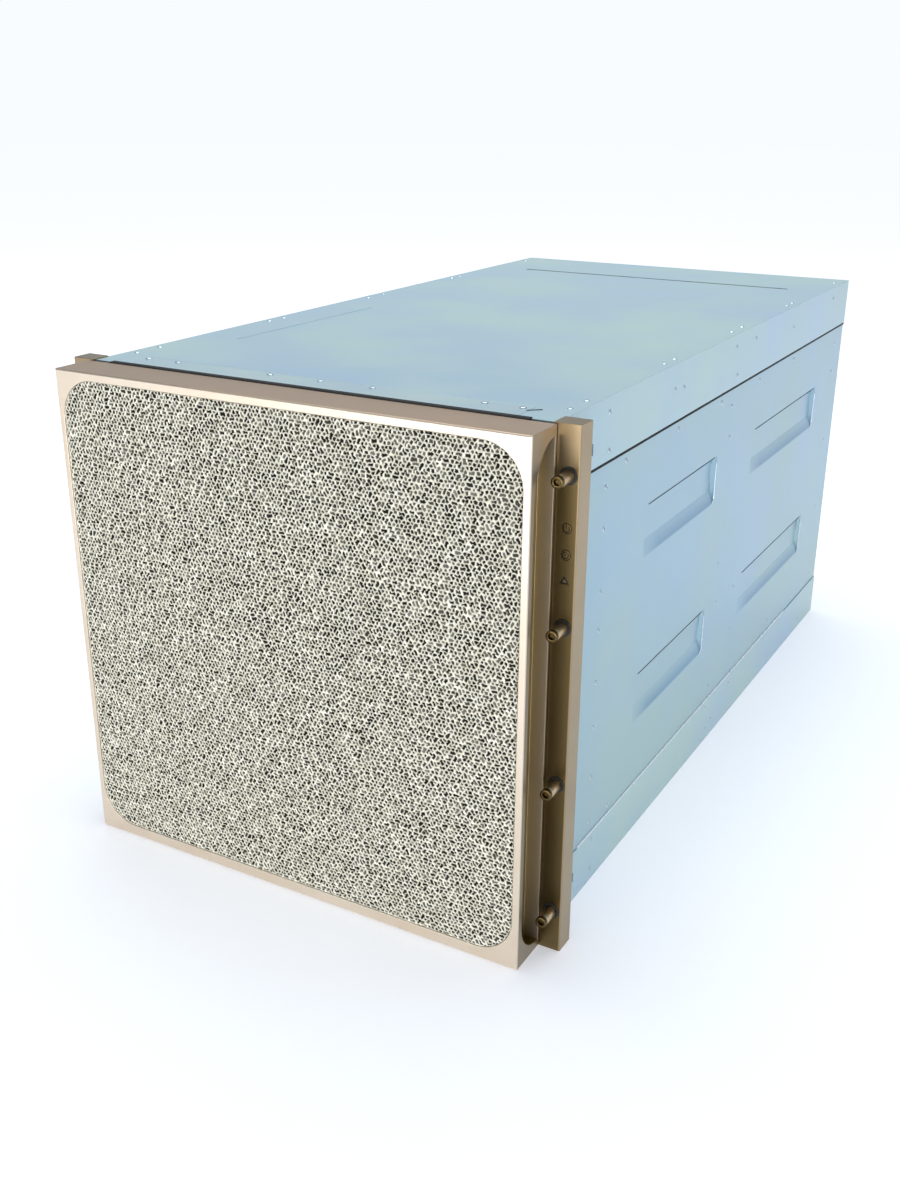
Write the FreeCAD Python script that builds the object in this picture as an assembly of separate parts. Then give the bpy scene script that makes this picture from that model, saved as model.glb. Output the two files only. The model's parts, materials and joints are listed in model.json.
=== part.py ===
import FreeCAD, Part
import math
import os

# Ten-unit rack server for eight accelerators, built as an assembly of separate pieces.
# Millimetres. +Z is up, the front faces -Y and +X is on the right of someone facing the front.
# The origin is at the bottom centre of the whole machine.

V = FreeCAD.Vector

# Rack standard
RACK_WIDTH = 482.6
RACK_UNIT = 44.45
RACK_UNITS = 10
UNIT_HOLES = (6.35, 22.225, 38.1)
PANEL_GAP = 0.8
EAR_HOLE_EDGE = 8.75

# Overall length, from the bezel's face to the chassis's rear edge
LENGTH = 897.0

# Clearances
SLIDE_GAP = 0.3
SEAT_GAP = 0.3
PIN_GAP = 0.1
SCREW_GAP = 0.25
SHAFT_GAP = 0.2

# How far a cut runs past the faces it opens, and how near a face an edge is picked
OVERCUT = 1.0
PICK = 0.1

# Flat sides of round forms that are repeated or out of sight, and facets of pressed corners
KNOB_SIDES = 16
PIN_SIDES = 10
BUTTON_SIDES = 16
FAN_SIDES = 20
CORNER_FACETS = 3

# Bezel: frame, foam window, finger pockets and snap tongues
BEZEL_WIDTH = 445.5
BEZEL_DEPTH = 40.2
BEZEL_INSET = 1.0
BEZEL_CHAMFER = 1.0
BEZEL_SEAM = 0.8
FACE_LIP = 5.0
WINDOW_SIDE = 5.75
WINDOW_TOP = 7.2
WINDOW_BOTTOM = 10.5
WINDOW_RADIUS = 34.0
BAR_HEIGHT = 13.0
FOAM_THICKNESS = 4.5
SCOOP_DEPTH = 13.0
SCOOP_WALL = 2.75
SCOOP_FRONT = 7.0
SCOOP_RIM = 2.5
SCOOP_TOP = 8.7
SCOOP_BOTTOM = 7.0
SCOOP_TOP_CURVE = 42.0
SCOOP_BOTTOM_CURVE = 30.0
TONGUE_SIDE = 14.75
TONGUE_WIDTH = 10.0
TONGUE_HEIGHT = 4.0
TONGUE_TIP = 1.6
TONGUE_NOSE = 4.0

# Rack ears, thumb screws, buttons and lamp
EAR_DEPTH = 19.5
EAR_PLATE = 4.0
EAR_WALL = 3.0
EAR_CHAMFER = 0.8
KNOB_RADIUS = 4.8
KNOB_LENGTH = 20.0
NECK_RADIUS = 2.7
SCREW_RADIUS = 3.0
SCREW_REACH = 12.0
BUTTON_RADIUS = 3.8
BUTTON_PROUD = 0.4
BUTTON_TRAVEL = 1.0
BUTTON_FLANGE_SIDE = 9.6
BUTTON_FLANGE = 0.6
POWER_BELOW_TOP = 77.3
INDICATOR_PITCH = 20.4
LENS_SIDE = 8.0
BOARD_THICKNESS = 1.6

# Chassis sheet metal
SHEET = 1.2
CHASSIS_WIDTH = 441.0
CHASSIS_SETBACK = 4.5
COVER_DROP = 1.0
COVER_FLANGE = 51.7
BASE_FLANGE = 49.5
COVER_SLOT_LENGTH = 346.0
COVER_SLOT_WIDTH = 6.5
COVER_SLOT_SHIFT = 3.0
COVER_SLOT_FROM_REAR = 115.5
RAIL_WIDTH = 374.0
RAIL_DEPTH = 32.7
RAIL_FLANGE = 4.5

# Rubber trim over the chassis's top front edge, which closes the seam behind the bezel
TRIM_LENGTH = 400.0
TRIM_DROP = 5.0
TRIM_LIP = 4.5
TRIM_RISE = 0.8

# Pressed pockets of the side panels, placed from the chassis's front edge
POCKET_DEPTH = 4.0
POCKET_HEIGHT = 48.0
POCKET_RADIUS = 8.0
POCKET_FLOOR_RADIUS = 5.0
POCKET_SLOPE_BOTTOM = 14.0
POCKET_SLOPE_TOP = 3.0
POCKET_SLOPE_END = 5.0
POCKET_SPANS = ((191.0, 379.0), (497.0, 743.0))
POCKET_LOW_Z = 118.0
POCKET_UNDER_SHELF = 3.0
EAR_SLOT_BEHIND = 47.0
EAR_SLOT_LENGTH = 4.5
EAR_SLOT_HEIGHT = 9.0
EAR_SLOT_LOW = 24.5
EAR_SLOT_BELOW_TOP = 35.7
EAR_SLOTS = 5

# Front cage, drives and fans
CAGE_SHEET = 1.5
CAGE_RETURN = 25.0
DRIVE_WIDTH = 78.0
DRIVE_HEIGHT = 24.0
DRIVE_LENGTH = 106.0
DRIVE_PROUD = 2.7
DRIVE_PITCH_X = 106.0
DRIVE_PITCH_Z = 28.0
DRIVE_FIRST_Z = 21.0
DRIVE_COLUMNS = 4
DRIVE_ROWS = 2
DRIVE_STRIP_MARGIN = 7.0
DRIVE_BODY_INSET = 3.0
DRIVE_FACE = 6.0
DRIVE_GROOVE = 2.0
FAN_SIZE = 180.0
FAN_DEPTH = 38.0
FAN_WALL = 4.0
FAN_SPACING = 25.0
FAN_GUARD_BAR = 6.0
FAN_COLUMNS = 2
FAN_ROWS = 2
FAN_TIP_GAP = 1.2
FAN_SPIDER = 3.5
FAN_STRUT = 5.0
FAN_STRUTS = 3
FAN_MOTOR_RADIUS = 29.0
FAN_HUB_RADIUS = 31.0
FAN_SHAFT_RADIUS = 2.8
FAN_SHAFT_LENGTH = 18.0
FAN_HUB_LENGTH = 28.0
FAN_AXIAL_GAP = 1.5
BLADES = 5
BLADE_CHORD = 52.0
BLADE_RISE = 18.0
BLADE_CAMBER = 4.0
BLADE_FACETS = 3
BLADE_THICKNESS = 2.0
BLADE_ROOT_RADIUS = 10.0

# Rear bays: shelves, trays, power supplies
REAR_RECESS = 23.3
SHELF = 1.5
SHELF_FLANGE = 6.0
SHELF_REAR_GAP = 2.0
BAY_HEADROOM = 2.0
MB_BAY = 109.0
MIDPLANE = 3.0
MIDPLANE_BEHIND_DRIVES = 10.5
MIDPLANE_SIDE_GAP = 6.0
TRAY_BEHIND_MIDPLANE = 8.0
TRAY_SHEET = 1.5
GPU_TRAY_WIDTH = 426.0
GPU_TRAY_WALL = 60.0
MB_TRAY_WIDTH = 430.0
MB_TRAY_WALL = 40.0
RIB_WIDTH = 8.0
RIB_SPACING = 180.0
MB_RIB = 6.0
GPU_RIB = 7.0
VENT = 85.0
VENT_PITCH = 100.0
VENT_COLUMNS = 4
VENT_ROW_GAP = 50.0
MIDPLANE_VENT_ROWS = 3

# Boards, heat sinks and memory
BOARD_SIDE_GAP = 8.0
PCB = 2.0
GPU_BOARD_FRONT = 155.0
GPU_BOARD_REAR = 25.0
GPU_SINK_WIDTH = 90.0
GPU_SINK_LENGTH = 160.0
GPU_SINK_HEIGHT = 190.0
GPU_SINK_ROW_GAP = 60.0
GPU_SINK_BASE = 8.0
GPU_FINS = 6
MB_BOARD_FRONT = 175.0
MB_BOARD_REAR = 105.0
CPU_SPACING = 206.0
CPU_SINK_WIDTH = 76.0
CPU_SINK_LENGTH = 120.0
CPU_SINK_HEIGHT = 62.0
CPU_SINK_BASE = 6.0
CPU_FINS = 8
FIN_THICKNESS = 2.0
MEMORY_LENGTH = 133.0
MEMORY_HEIGHT = 31.0
MEMORY_THICKNESS = 4.0
MEMORY_PITCH = 7.5
MEMORY_PER_SIDE = 6
MEMORY_FROM_SINK = 6.0

# Network cards in the motherboard tray's rear wall
CARD_DEPTH = 100.0
CARD_PROUD = 3.0
TWIN_CARD_WIDTH = 58.0
TWIN_CARD_HEIGHT = 22.0
TWIN_CARD_X = 78.0
TWIN_CARD_ABOVE_LEVER = 22.0
TWIN_PORT_WIDTH = 23.0
TWIN_PORT_HEIGHT = 13.5
TWIN_PORT_PITCH = 28.0
SLIM_CARD_WIDTH = 22.0
SLIM_CARD_HEIGHT = 64.0
SLIM_CARD_X = 20.0
SLIM_PORT_WIDTH = 10.0
SLIM_PORT_HEIGHT = 20.0
PORT_DEPTH = 40.0
MB_VENT_WIDTH = 80.0
MB_VENT_HEIGHT = 46.0
MB_VENT_X = 160.0

# Tray levers
LEVER_LENGTH = 85.0
LEVER_HEIGHT = 12.0
LEVER_THICKNESS = 4.0
LEVER_BOSS_RADIUS = 5.0
LEVER_TAB = 5.0
LEVER_PIN_RADIUS = 2.0
LEVER_PIN_OFF_WALL = 13.0
LEVER_PIN_FROM_EDGE = 12.0
LEVER_LUG = 3.0
LEVER_LUG_WIDTH = 14.0
LEVER_LUG_BEYOND_PIN = 6.0
MB_LEVER_UP = 13.0

# Power supplies and their release latches
POWER_SUPPLIES = 6
PSU_WIDTH = 69.0
PSU_HEIGHT = 40.5
PSU_LENGTH = 320.0
PSU_SPACING = 3.0
INLET_WIDTH = 20.0
INLET_HEIGHT = 30.0
INLET_DEPTH = 18.0
INLET_FROM_EDGE = 10.0
HANDLE_FROM_EDGE = 1.0
HANDLE_TO_INLET = 3.0
HANDLE_REACH = 16.5
HANDLE_BAR = 3.5
HANDLE_HEIGHT = 10.0
LATCH_THICKNESS = 2.5
LATCH_HEIGHT = 16.0
LATCH_REACH = 16.0
LATCH_PIN_RADIUS = 1.2
LATCH_PIN_IN = 15.0
LATCH_PIN_HOLD = 2.0
LATCH_SIDE_GAP = 1.5
LATCH_SWING_ROOM = 3.0

# Places worked out from the sizes above
PANEL_HEIGHT = RACK_UNITS * RACK_UNIT - PANEL_GAP
Y_FRONT = -LENGTH / 2
Y_REAR = LENGTH / 2
Y_LIP = Y_FRONT + FACE_LIP
Y_BEZEL_BACK = Y_FRONT + BEZEL_DEPTH
Y_EAR = Y_BEZEL_BACK + BEZEL_SEAM
Y_EAR_BACK = Y_EAR + EAR_DEPTH
Y_CHASSIS = Y_EAR + CHASSIS_SETBACK
Y_CAGE = Y_CHASSIS + SHEET
Y_CAGE_BACK = Y_CAGE + CAGE_SHEET
Y_FLANGE = Y_EAR_BACK + SEAT_GAP
Y_WALL = Y_REAR - REAR_RECESS
X_OUT = CHASSIS_WIDTH / 2
X_PANEL = X_OUT - SHEET
X_IN = X_PANEL - SHEET
X_EAR = RACK_WIDTH / 2
X_SCREW = X_EAR - EAR_HOLE_EDGE
X_BEZEL = BEZEL_WIDTH / 2
X_WINDOW = X_BEZEL - WINDOW_SIDE
X_TONGUE = X_BEZEL - TONGUE_SIDE
Z_TOP = PANEL_HEIGHT - COVER_DROP
Z_ROOF = Z_TOP - SHEET
Z_BEZEL_LOW = BEZEL_INSET
Z_BEZEL_HIGH = PANEL_HEIGHT - BEZEL_INSET
Z_WINDOW_LOW = Z_BEZEL_LOW + WINDOW_BOTTOM
Z_WINDOW_HIGH = Z_BEZEL_HIGH - WINDOW_TOP
TONGUE_HEIGHTS = (Z_BEZEL_LOW + BAR_HEIGHT / 2, Z_BEZEL_HIGH - BAR_HEIGHT / 2)
SCREW_PLACES = ((0, 2), (3, 1), (RACK_UNITS - 4, 1), (RACK_UNITS - 1, 0))
SCREW_HEIGHTS = [unit * RACK_UNIT + UNIT_HOLES[hole] - PANEL_GAP / 2 for unit, hole in SCREW_PLACES]
Z_POWER = PANEL_HEIGHT - POWER_BELOW_TOP
Z_ID = Z_POWER - INDICATOR_PITCH
Z_FAULT = Z_ID - INDICATOR_PITCH
DRIVE_TOP = DRIVE_FIRST_Z + (DRIVE_ROWS - 1) * DRIVE_PITCH_Z + DRIVE_HEIGHT / 2 + DRIVE_STRIP_MARGIN
Y_DRIVE = Y_CAGE - DRIVE_PROUD
FAN_PITCH_Z = (Z_ROOF - DRIVE_TOP) / FAN_ROWS
FAN_PITCH_X = FAN_SIZE + FAN_SPACING
FAN_BORE_RADIUS = FAN_SIZE / 2 - FAN_WALL
FAN_TIP_RADIUS = FAN_BORE_RADIUS - FAN_TIP_GAP
Y_FAN_BACK = Y_CAGE_BACK + FAN_DEPTH
Y_SPIDER = Y_FAN_BACK - FAN_SPIDER
Y_HUB_BACK = Y_SPIDER - FAN_AXIAL_GAP
Z_PSU = SHEET + SLIDE_GAP
Z_LOW_SHELF = Z_PSU + PSU_HEIGHT + BAY_HEADROOM
Z_GPU_TRAY = Z_LOW_SHELF + SHELF + SLIDE_GAP
Z_HIGH_SHELF = Z_ROOF - MB_BAY - SHELF
Z_MB_TRAY = Z_HIGH_SHELF + SHELF + SLIDE_GAP
Z_GPU_TOP = Z_HIGH_SHELF - BAY_HEADROOM
Z_MB_TOP = Z_ROOF - 2 * BAY_HEADROOM
Y_SHELF = Y_DRIVE + DRIVE_LENGTH + SHELF_REAR_GAP
Y_MIDPLANE = Y_DRIVE + DRIVE_LENGTH + MIDPLANE_BEHIND_DRIVES
Y_TRAY = Y_MIDPLANE + MIDPLANE + TRAY_BEHIND_MIDPLANE
Y_PIN = Y_WALL + LEVER_PIN_OFF_WALL
Z_GPU_LEVER = (Z_GPU_TRAY + Z_GPU_TOP) / 2
Z_MB_LEVER = Z_MB_TRAY + MB_LEVER_UP
Z_GPU_BOARD = Z_GPU_TRAY + TRAY_SHEET + GPU_RIB
Z_MOTHERBOARD = Z_MB_TRAY + TRAY_SHEET + MB_RIB
Z_CARD = Z_MB_LEVER + TWIN_CARD_ABOVE_LEVER
Z_PSU_MID = Z_PSU + PSU_HEIGHT / 2
INLET_X = PSU_WIDTH / 2 - INLET_FROM_EDGE - INLET_WIDTH / 2
HANDLE_WIDTH = PSU_WIDTH - INLET_FROM_EDGE - INLET_WIDTH - HANDLE_TO_INLET - HANDLE_FROM_EDGE
HANDLE_X = HANDLE_FROM_EDGE + HANDLE_WIDTH / 2 - PSU_WIDTH / 2


# Basic forms

def box(x0, x1, y0, y1, z0, z1):
    """Box between two corners."""
    return Part.makeBox(x1 - x0, y1 - y0, z1 - z0, V(x0, y0, z0))


def rod_y(x, z, radius, y0, y1):
    """Cylinder along Y."""
    return Part.makeCylinder(radius, y1 - y0, V(x, y0, z), V(0, 1, 0))


def prism(points, sweep):
    """Straight prism from the corners of its end face."""
    return Part.Face(Part.makePolygon(points + points[:1])).extrude(sweep)


def ring(radius, sides):
    """Corners of a regular polygon about zero, with a flat side at the bottom."""
    turns = [2 * math.pi * (i + 0.5) / sides - math.pi / 2 for i in range(sides)]
    return [(radius * math.cos(turn), radius * math.sin(turn)) for turn in turns]


def around(radius, sides):
    """Corner radius of a polygon that just clears a circle of this radius."""
    return radius / math.cos(math.pi / sides)


def rod_z(x, y, radius, z0, z1):
    """Cylinder along Z."""
    return Part.makeCylinder(radius, z1 - z0, V(x, y, z0), V(0, 0, 1))


def bar_y(x, z, radius, y0, y1, sides):
    """Many-sided bar along Y, whose corners lie at the radius."""
    return prism([V(x + a, y0, z + b) for a, b in ring(radius, sides)], V(0, y1 - y0, 0))


def bar_z(x, y, radius, z0, z1, sides):
    """Many-sided bar along Z, whose corners lie at the radius."""
    return prism([V(x + a, y + b, z0) for a, b in ring(radius, sides)], V(0, 0, z1 - z0))


def mirrored(shape):
    """The same shape on the other side of the machine."""
    return shape.mirror(V(0, 0, 0), V(1, 0, 0))


def joined(shapes):
    """One clean solid from shapes that touch or overlap."""
    return shapes[0].fuse(shapes[1:]).removeSplitter()


def rounded_wire(a0, a1, b0, b1, radius, place):
    """Rounded rectangle whose corner (a, b) lies where place(a, b) says."""
    c = radius * (1 - math.sqrt(0.5))
    edges = []
    corners = ((a1, b0, -1, 1), (a1, b1, -1, -1), (a0, b1, 1, -1), (a0, b0, 1, 1))
    ends = []
    for a, b, da, db in corners:
        along = place(a + da * radius, b)
        middle = place(a + da * c, b + db * c)
        across = place(a, b + db * radius)
        ends.append((along, across) if da * db < 0 else (across, along))
        edges.append(Part.Arc(ends[-1][0], middle, ends[-1][1]).toShape())
    for i, (_, leave) in enumerate(ends):
        edges.append(Part.LineSegment(leave, ends[(i + 1) % 4][0]).toShape())
    return Part.Wire(Part.__sortEdges__(edges))


def rounded_plate(x0, x1, z0, z1, radius, y0, y1):
    """Upright plate across Y with round corners."""
    wire = rounded_wire(x0, x1, z0, z1, radius, lambda a, b: V(a, y0, b))
    return Part.Face(wire).extrude(V(0, y1 - y0, 0))


def quarter_ellipse(centre, end_a, end_b):
    """Quarter of an ellipse between the ends of its two half axes."""
    long_end, short_end = end_a, end_b
    if (end_a - centre).Length < (end_b - centre).Length:
        long_end, short_end = end_b, end_a
    ellipse = Part.Ellipse(long_end, short_end, centre)
    return Part.ArcOfEllipse(ellipse, 0, math.pi / 2).toShape()


def spread(count, pitch):
    """Places of a row of equal parts about the middle."""
    return [(i - (count - 1) / 2) * pitch for i in range(count)]


# Bezel

def finger_pocket():
    """Pocket in the bezel's right side, with elliptic ends and a thin rim at the back."""
    x = X_BEZEL + OVERCUT
    y_front = Y_FRONT + SCOOP_FRONT
    y_back = Y_BEZEL_BACK - SCOOP_RIM
    z_low = Z_BEZEL_LOW + SCOOP_BOTTOM
    z_high = Z_BEZEL_HIGH - SCOOP_TOP
    low = z_low + SCOOP_BOTTOM_CURVE
    high = z_high - SCOOP_TOP_CURVE
    edges = [
        quarter_ellipse(V(x, y_back, low), V(x, y_back, z_low), V(x, y_front, low)),
        Part.LineSegment(V(x, y_front, low), V(x, y_front, high)).toShape(),
        quarter_ellipse(V(x, y_back, high), V(x, y_front, high), V(x, y_back, z_high)),
        Part.LineSegment(V(x, y_back, z_high), V(x, y_back, z_low)).toShape(),
    ]
    wire = Part.Wire(Part.__sortEdges__(edges))
    return Part.Face(wire).extrude(V(-SCOOP_DEPTH - OVERCUT, 0, 0))


def bezel_frame():
    """Aluminium frame: a front lip round the foam, two rails, two bars and an open back."""
    block = box(-X_BEZEL, X_BEZEL, Y_FRONT, Y_BEZEL_BACK, Z_BEZEL_LOW, Z_BEZEL_HIGH)
    front = [e for e in block.Edges if e.BoundBox.YMax < Y_FRONT + PICK]
    block = block.makeChamfer(BEZEL_CHAMFER, front)
    window = rounded_plate(
        -X_WINDOW, X_WINDOW, Z_WINDOW_LOW, Z_WINDOW_HIGH, WINDOW_RADIUS, Y_FRONT - OVERCUT, Y_LIP
    )
    inside = X_BEZEL - SCOOP_DEPTH - SCOOP_WALL
    cavity = box(
        -inside, inside, Y_LIP, Y_BEZEL_BACK + OVERCUT, Z_BEZEL_LOW + BAR_HEIGHT, Z_BEZEL_HIGH - BAR_HEIGHT
    )
    pocket = finger_pocket()
    return block.cut([window, cavity, pocket, mirrored(pocket)])


def bezel_foam():
    """Foam panel, which stands on the rails behind the lip."""
    return rounded_plate(
        -X_WINDOW + SEAT_GAP,
        X_WINDOW - SEAT_GAP,
        Z_WINDOW_LOW + SEAT_GAP,
        Z_WINDOW_HIGH - SEAT_GAP,
        WINDOW_RADIUS - SEAT_GAP,
        Y_LIP - FOAM_THICKNESS,
        Y_LIP,
    )


def tongue_places():
    """Centres (x, z) of the bezel's four snap tongues."""
    return [(x, z) for x in (-X_TONGUE, X_TONGUE) for z in TONGUE_HEIGHTS]


def bezel_tongues():
    """Four tapered tongues on the bezel's bars, each in a slot of the front cage."""
    y_nose = Y_CAGE_BACK + TONGUE_NOSE
    root = TONGUE_HEIGHT / 2
    tip = TONGUE_TIP / 2
    tongues = []
    for x, z in tongue_places():
        left = x - TONGUE_WIDTH / 2
        side = ((Y_BEZEL_BACK, -root), (Y_CAGE_BACK, -root), (y_nose, -tip))
        points = [V(left, y, z + dz) for y, dz in side]
        points += [V(left, y, z - dz) for y, dz in reversed(side)]
        tongues.append(prism(points, V(TONGUE_WIDTH, 0, 0)))
    return Part.makeCompound(tongues)


# Rack ears and what is in them

def plain_ear():
    """Right rack ear: a channel that is open at the back, bored for the rack screws."""
    block = box(X_PANEL, X_EAR, Y_EAR, Y_EAR_BACK, 0, PANEL_HEIGHT)
    edge = [e for e in block.Edges if e.BoundBox.YMax < Y_EAR + PICK and e.BoundBox.XMin > X_EAR - PICK]
    block = block.makeChamfer(EAR_CHAMFER, edge)
    hollow = box(
        X_PANEL + EAR_WALL,
        X_EAR - EAR_WALL,
        Y_EAR + EAR_PLATE,
        Y_EAR_BACK + OVERCUT,
        EAR_WALL,
        PANEL_HEIGHT - EAR_WALL,
    )
    bore = around(SCREW_RADIUS + SCREW_GAP, PIN_SIDES)
    bores = [bar_y(X_SCREW, z, bore, Y_EAR - OVERCUT, Y_EAR_BACK, PIN_SIDES) for z in SCREW_HEIGHTS]
    return block.cut([hollow] + bores)


def lens_prism(side, y0, y1):
    """Upright triangular prism about the lamp's place."""
    reach = side / math.sqrt(3)
    points = []
    for turn in (90, 210, 330):
        angle = math.radians(turn)
        points.append(V(X_SCREW + reach * math.cos(angle), y0, Z_FAULT + reach * math.sin(angle)))
    return prism(points, V(0, y1 - y0, 0))


def right_rack_ear():
    """Right ear, with the places of two buttons and one lamp."""
    bore = around(BUTTON_RADIUS + SEAT_GAP, BUTTON_SIDES)
    y0 = Y_EAR - OVERCUT
    y1 = Y_EAR + EAR_PLATE + OVERCUT
    cuts = [bar_y(X_SCREW, z, bore, y0, y1, BUTTON_SIDES) for z in (Z_POWER, Z_ID)]
    cuts.append(lens_prism(LENS_SIDE, y0, y1))
    return plain_ear().cut(cuts)


def fault_lens():
    """Lamp window, which fills its hole and stands on the indicator board."""
    return lens_prism(LENS_SIDE - 2 * SEAT_GAP, Y_EAR, indicator_board_face())


def indicator_board_face():
    """Front plane of the indicator board, clear of the pressed buttons."""
    return Y_EAR + EAR_PLATE + BUTTON_FLANGE + BUTTON_TRAVEL + 2 * SEAT_GAP


def indicator_board():
    """Board behind the buttons, screwed to the ear's inner wall."""
    y = indicator_board_face()
    return box(
        X_PANEL + EAR_WALL,
        X_EAR - EAR_WALL - SEAT_GAP,
        y,
        y + BOARD_THICKNESS,
        Z_FAULT - LENS_SIDE,
        Z_POWER + LENS_SIDE,
    )


def button(z):
    """Push button with a flange that keeps it behind the ear's plate."""
    y_flange = Y_EAR + EAR_PLATE + SEAT_GAP
    stem = bar_y(X_SCREW, z, BUTTON_RADIUS, Y_EAR - BUTTON_PROUD, y_flange + BUTTON_FLANGE, BUTTON_SIDES)
    half = BUTTON_FLANGE_SIDE / 2
    flange = box(X_SCREW - half, X_SCREW + half, y_flange, y_flange + BUTTON_FLANGE, z - half, z + half)
    return joined([stem, flange])


def thumb_screw(x, z):
    """Captive rack screw: a knob, a thin neck in the ear's bore, and a thread that reaches past the ear."""
    y_tip = Y_EAR - SCREW_GAP - KNOB_LENGTH
    y_knob = Y_EAR - SCREW_GAP
    y_end = Y_EAR_BACK + SCREW_REACH
    knob = bar_y(x, z, KNOB_RADIUS, y_tip, y_knob, KNOB_SIDES)
    neck = bar_y(x, z, NECK_RADIUS, y_knob, Y_EAR_BACK, PIN_SIDES)
    return joined([knob, neck, rod_y(x, z, SCREW_RADIUS, Y_EAR_BACK, y_end)])


# Chassis sheet metal

def ear_slots(x0, x1):
    """Column of small slots in the side wall, just behind the ears."""
    step = (Z_TOP - EAR_SLOT_BELOW_TOP - EAR_SLOT_LOW) / (EAR_SLOTS - 1)
    y = Y_EAR_BACK + EAR_SLOT_BEHIND
    half = EAR_SLOT_HEIGHT / 2
    slots = []
    for i in range(EAR_SLOTS):
        z = EAR_SLOT_LOW + i * step
        slots.append(box(x0, x1, y, y + EAR_SLOT_LENGTH, z - half, z + half))
        slots.append(box(-x1, -x0, y, y + EAR_SLOT_LENGTH, z - half, z + half))
    return slots


def chassis_base():
    """Bottom pan with a folded flange up each side."""
    floor = box(-X_PANEL, X_PANEL, Y_CHASSIS, Y_REAR, 0, SHEET)
    pan = box(-X_OUT, X_OUT, Y_FLANGE, Y_REAR, 0, BASE_FLANGE)
    room = box(-X_PANEL, X_PANEL, Y_FLANGE - OVERCUT, Y_REAR + OVERCUT, SHEET, BASE_FLANGE + OVERCUT)
    return joined([floor, pan.cut(room)]).cut(ear_slots(X_IN, X_OUT + OVERCUT))


def top_cover():
    """Roof with a folded flange down each side, a cross slot and room for the front rail."""
    roof = box(-X_PANEL, X_PANEL, Y_CHASSIS, Y_REAR, Z_ROOF, Z_TOP)
    hood = box(-X_OUT, X_OUT, Y_FLANGE, Y_REAR, Z_TOP - COVER_FLANGE, Z_TOP)
    room = box(
        -X_PANEL,
        X_PANEL,
        Y_FLANGE - OVERCUT,
        Y_REAR + OVERCUT,
        Z_TOP - COVER_FLANGE - OVERCUT,
        Z_ROOF,
    )
    rail_room = box(
        -RAIL_WIDTH / 2 - SEAT_GAP,
        RAIL_WIDTH / 2 + SEAT_GAP,
        Y_CHASSIS - OVERCUT,
        Y_CHASSIS + RAIL_DEPTH + SEAT_GAP,
        Z_ROOF - OVERCUT,
        Z_TOP + OVERCUT,
    )
    y_slot = Y_REAR - COVER_SLOT_FROM_REAR
    slot = box(
        COVER_SLOT_SHIFT - COVER_SLOT_LENGTH / 2,
        COVER_SLOT_SHIFT + COVER_SLOT_LENGTH / 2,
        y_slot - COVER_SLOT_WIDTH / 2,
        y_slot + COVER_SLOT_WIDTH / 2,
        Z_ROOF - OVERCUT,
        Z_TOP + OVERCUT,
    )
    return joined([roof, hood.cut(room)]).cut([rail_room, slot] + ear_slots(X_IN, X_OUT + OVERCUT))


def front_top_rail():
    """Strip across the front of the roof, folded down on the front cage."""
    half = RAIL_WIDTH / 2
    strip = box(-half, half, Y_CHASSIS, Y_CHASSIS + RAIL_DEPTH, Z_ROOF, Z_TOP)
    fold = box(-half, half, Y_CHASSIS, Y_CAGE, Z_ROOF - RAIL_FLANGE, Z_ROOF)
    return joined([strip, fold])


def edge_trim():
    """Strip of rubber trim in the seam behind the bezel, with a lip on the roof's front edge."""
    half = TRIM_LENGTH / 2
    low = Z_TOP - TRIM_DROP
    high = Z_TOP + TRIM_RISE
    strip = box(-half, half, Y_BEZEL_BACK + SEAT_GAP, Y_CHASSIS, low, high)
    lip = box(-half, half, Y_CHASSIS, Y_CHASSIS + TRIM_LIP, Z_TOP, high)
    return joined([strip, lip])


def pressed_outline(y0, y1, z0, z1, radius, x):
    """Rounded rectangle in the side wall's plane, whose corners are bent in facets."""
    corners = ((y1, z1, 0), (y0, z1, 90), (y0, z0, 180), (y1, z0, 270))
    points = []
    for y, z, start in corners:
        cy = y - math.copysign(radius, y - y0 - radius)
        cz = z - math.copysign(radius, z - z0 - radius)
        for i in range(CORNER_FACETS + 1):
            turn = math.radians(start + 90 * i / CORNER_FACETS)
            points.append(V(x, cy + radius * math.cos(turn), cz + radius * math.sin(turn)))
    return Part.makePolygon(points + points[:1])


def pocket_dish(y0, y1, z0, x_mouth):
    """Tapered form of one pressed pocket in the right side panel."""
    z1 = z0 + POCKET_HEIGHT
    mouth = pressed_outline(y0, y1, z0, z1, POCKET_RADIUS, x_mouth)
    floor = pressed_outline(
        y0 + POCKET_SLOPE_END,
        y1 - POCKET_SLOPE_END,
        z0 + POCKET_SLOPE_BOTTOM,
        z1 - POCKET_SLOPE_TOP,
        POCKET_FLOOR_RADIUS,
        x_mouth - POCKET_DEPTH,
    )
    return Part.makeLoft([mouth, floor], True, True)


def right_side_panel():
    """Side wall with four pressed pockets."""
    wall = box(X_IN, X_PANEL, Y_CHASSIS, Y_REAR, SHEET, Z_ROOF)
    high = Z_HIGH_SHELF - POCKET_UNDER_SHELF - POCKET_HEIGHT
    shells = []
    hollows = []
    for start, end in POCKET_SPANS:
        for z in (POCKET_LOW_Z, high):
            shells.append(pocket_dish(Y_CHASSIS + start, Y_CHASSIS + end, z, X_IN))
            hollows.append(pocket_dish(Y_CHASSIS + start, Y_CHASSIS + end, z, X_PANEL))
    return joined([wall] + shells).cut(hollows + ear_slots(X_IN - OVERCUT, X_PANEL + OVERCUT))


# Front cage, drives and fans

def fan_places():
    """Centres (x, z) of the fans, row by row from the lower left."""
    rows = [DRIVE_TOP + (row + 0.5) * FAN_PITCH_Z for row in range(FAN_ROWS)]
    return [(x, z) for z in rows for x in spread(FAN_COLUMNS, FAN_PITCH_X)]


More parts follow.
